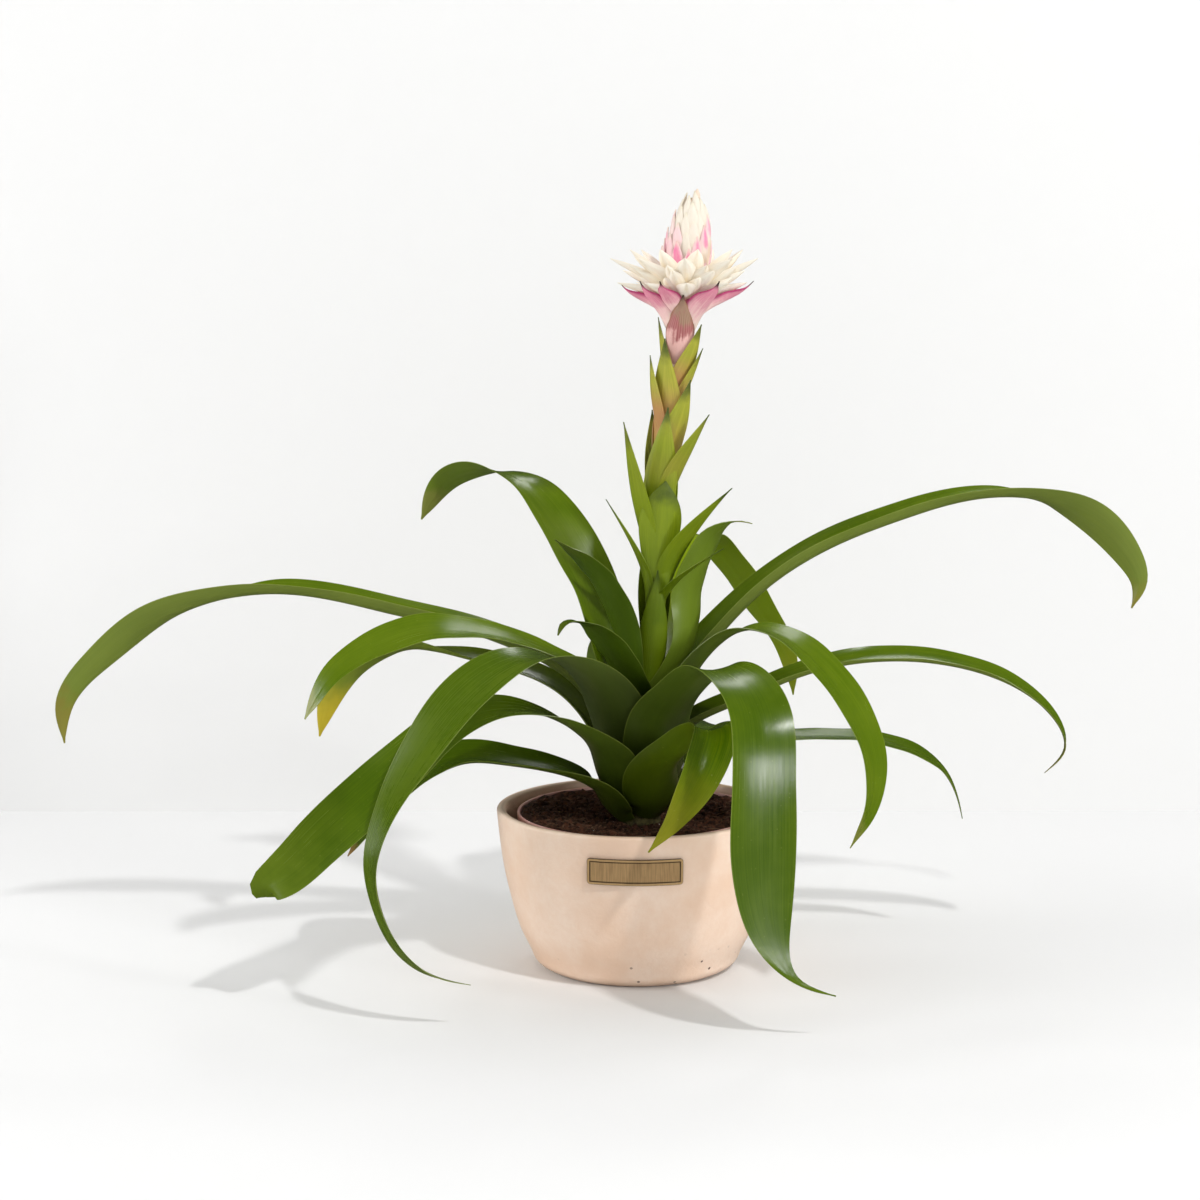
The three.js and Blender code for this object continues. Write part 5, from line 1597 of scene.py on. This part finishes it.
        x = times(calc("COSINE", angle), reach, by_height("Axis first", "Axis last"))
        y = times(calc("SINE", angle), reach)
        spot = add("ShaderNodeCombineXYZ", {"X": x, "Y": y, "Z": by_height("First", "Last")})
        placed = add("GeometryNodeSetPosition", {"Geometry": line.outputs[0], "Position": spot.outputs[0]})
        draw = add("FunctionNodeRandomValue", {2: -1.0, 3: 1.0, "ID": index, "Seed": given["Seed"]},
                   data_type="FLOAT").outputs[1]
        lean = times(draw, 0.08, times(given["Lean"], calc("SUBTRACT", 0.4, share)))
        turn = add("ShaderNodeCombineXYZ", {"X": 0.0, "Y": lean, "Z": angle})
        item = add("GeometryNodeInstanceOnPoints", {
            "Points": placed.outputs[0], "Instance": given["Geometry"], "Rotation": turn.outputs[0],
            "Scale": by_height("Long", "Short")})
        blush = times(draw, 0.45, calc("SUBTRACT", 0.95, share))
        marked = add("GeometryNodeStoreNamedAttribute",
                     {"Geometry": item.outputs[0], "Name": "blush", "Value": blush},
                     data_type="FLOAT", domain="INSTANCE")
        return group.dressed(marked.outputs[0])

    def fullness(self, share: float) -> float:
        """Core's radius at a share of the scales' height, against the scales' reach."""
        return float(profile(self.core)(np.array(between(*self.scale_heights, share)))) / self.scale_reach

    def head(self, effects: Effects) -> list[Thing]:
        """Makes the cone of scales and the fans of spikes."""
        cone_finish = ConeFinish().material("head_scales", effects)
        (first, last), (long, short) = self.scale_heights, self.scale_lengths
        item = self.scale_item(cone_finish)
        scales = grow("head_scales", item, self.spiral(), {
            "Count": self.scales, "Turn": math.radians(GOLDEN_ANGLE),
            "First": first * MM, "Axis first": float(scape_x(np.array(first))) * MM,
            "Last": last * MM, "Axis last": float(scape_x(np.array(last))) * MM,
            "Long": long * MM, "Short": short * MM, "Lean": self.scale_lean, "Reach": self.scale_reach * MM,
            "Seed": self.scale_seed, "Finish": cone_finish})
        bpy.data.objects.remove(item)
        heights = np.linspace(self.core[0][0], self.core[-2][0], 22)
        radii = profile(self.core)(heights) - 0.4
        levels = (*zip(heights.tolist(), radii.tolist()), *self.core_tip)
        cone = Shell().loft(trunk_rings(levels, self.around[2])).piece("head_cone", cone_finish)
        fans = Shell()
        for fan, stretch in self.fans:
            for turn, reach, tip, half_width in self.spikes:
                far = self.spike_reach * stretch * reach
                bract = Bract(self.spike_base, tip, fan + turn, far, half_width)
                rib = self.frames(bract, SPIKE_HOLD, self.stations[2])
                fans.loft(*self.pod_rings(rib, self.spike_thickness))
        spikes = fans.piece("head_spikes", PetalFinish().material("cream_petal", effects), crease=70)
        return [settle(piece, "flower_head", "flower_head") for piece in (cone, scales, spikes)]

    def build(self, effects: Effects) -> list[Thing]:
        """Makes the whole flower stalk."""
        return [*self.stalk(effects), *self.collar(effects), *self.head(effects)]


@dataclass(frozen=True)
class Lamp:
    """One soft light, by its direction from the plant in degrees, its distance, size and power."""

    name: str
    azimuth: float
    elevation: float
    distance: float
    width: float
    height: float
    power: float


@dataclass
class Studio:
    """Pale floor and wall, soft lights, and the camera, in metres. Lens and sensor are in millimetres."""

    lamps: tuple[Lamp, ...] = (
        Lamp("key", -55, 48, 4, 0.2, 0.2, 66), Lamp("softbox", -36, 13, 4, 0.45, 0.8, 49),
        Lamp("left_board", -168, 16, 3, 1.4, 1.4, 44), Lamp("back_softbox", 75, 42, 4, 0.9, 0.5, 14))
    air: float = 0.62
    air_in_gloss: float = 0.03
    floor_colour: Colour = (0.755, 0.755, 0.753)
    wall_colour: Colour = (0.725, 0.725, 0.72)
    cloud_colour: Colour = (0.7, 0.7, 0.7)
    aim: tuple[float, float, float] = (0, 0, 0.15)
    wall_at: float = 0.41
    room: float = 6.0
    lens: float = 75.0
    sensor: float = 36
    far: float = 50
    eye: tuple[float, float, float] = (-0.0219, -1.471, 0.425)
    pitch: float = 7.9

    def plain(self, name: str, colour: Colour, corners: Points) -> Thing:
        """Makes one flat stage surface, seen through from behind so that the back can be looked at."""
        s = Surface(name)
        cloud = s.noise(Vector=s.place, Scale=3.0, Detail=2.0)
        behind = s.add("ShaderNodeNewGeometry").outputs["Backfacing"]
        s.wire(Base_Color=s.mix(s.times(cloud, 0.06), colour, self.cloud_colour),
               Alpha=s.calc("SUBTRACT", 1.0, behind), Roughness=0.8)
        mesh = bpy.data.meshes.new(name)
        mesh.from_pydata([list(corner) for corner in corners], [], [tuple(range(len(corners)))])
        mesh.materials.append(s.material)
        thing = new_object(name, mesh)
        thing.visible_glossy = False
        return thing

    def hang(self, lamp: Lamp) -> None:
        """Hangs a lamp that faces the plant."""
        light = bpy.data.lights.new(lamp.name, "AREA")
        light.shape = "RECTANGLE"
        light.size = lamp.width
        light.size_y = lamp.height
        light.energy = lamp.power
        turn, rise = math.radians(lamp.azimuth), math.radians(lamp.elevation)
        thing = new_object(lamp.name, light)
        thing.location = np.array(self.aim) + lamp.distance * np.array(
            [math.cos(turn) * math.cos(rise), math.sin(turn) * math.cos(rise), math.sin(rise)])
        thing.rotation_euler = (math.pi / 2 - rise, 0, turn + math.pi / 2)

    def air_light(self) -> bpy.types.World:
        """Makes the even light of the room, fainter where it is mirrored."""
        world = bpy.data.worlds.new("studio_air")
        world.use_nodes = True
        bench = Bench(world.node_tree)
        mirrored = bench.add("ShaderNodeLightPath").outputs["Is Glossy Ray"]
        background = world.node_tree.nodes["Background"]
        bench.feed(background.inputs["Color"], (1, 1, 1))
        strength = bench.times(mirrored, self.air_in_gloss - self.air, self.air)
        bench.feed(background.inputs["Strength"], strength)
        return world

    def build(self) -> None:
        """Sets up the stage, the light and the camera."""
        scene = bpy.context.scene
        r, w = self.room, self.wall_at
        self.plain("studio_floor", self.floor_colour, ((-r, -r, 0), (r, -r, 0), (r, r, 0), (-r, r, 0)))
        wall = self.plain("studio_wall", self.wall_colour, ((-r, w, 0), (r, w, 0), (r, w, r), (-r, w, r)))
        wall.visible_shadow = False
        for lamp in self.lamps:
            self.hang(lamp)
        scene.world = self.air_light()
        scene.view_settings.view_transform = "Standard"
        camera = bpy.data.cameras.new("photo_camera")
        camera.lens = self.lens
        camera.sensor_width = self.sensor
        camera.clip_end = self.far
        thing = new_object("photo_camera", camera)
        thing.location = self.eye
        thing.rotation_euler = (math.radians(90 - self.pitch), 0, 0)
        scene.camera = thing


def main() -> None:
    """Builds the stage and every piece."""
    logging.basicConfig(level=logging.INFO, format="%(name)s: %(message)s")
    Studio().build()
    effects = Effects()
    planter, pot = Planter(), NurseryPot()
    for part in (planter, Plaque(planter), pot, Soil(pot), Rosette(), Inflorescence()):
        part.build(effects)


if __name__ == "__main__":
    main()
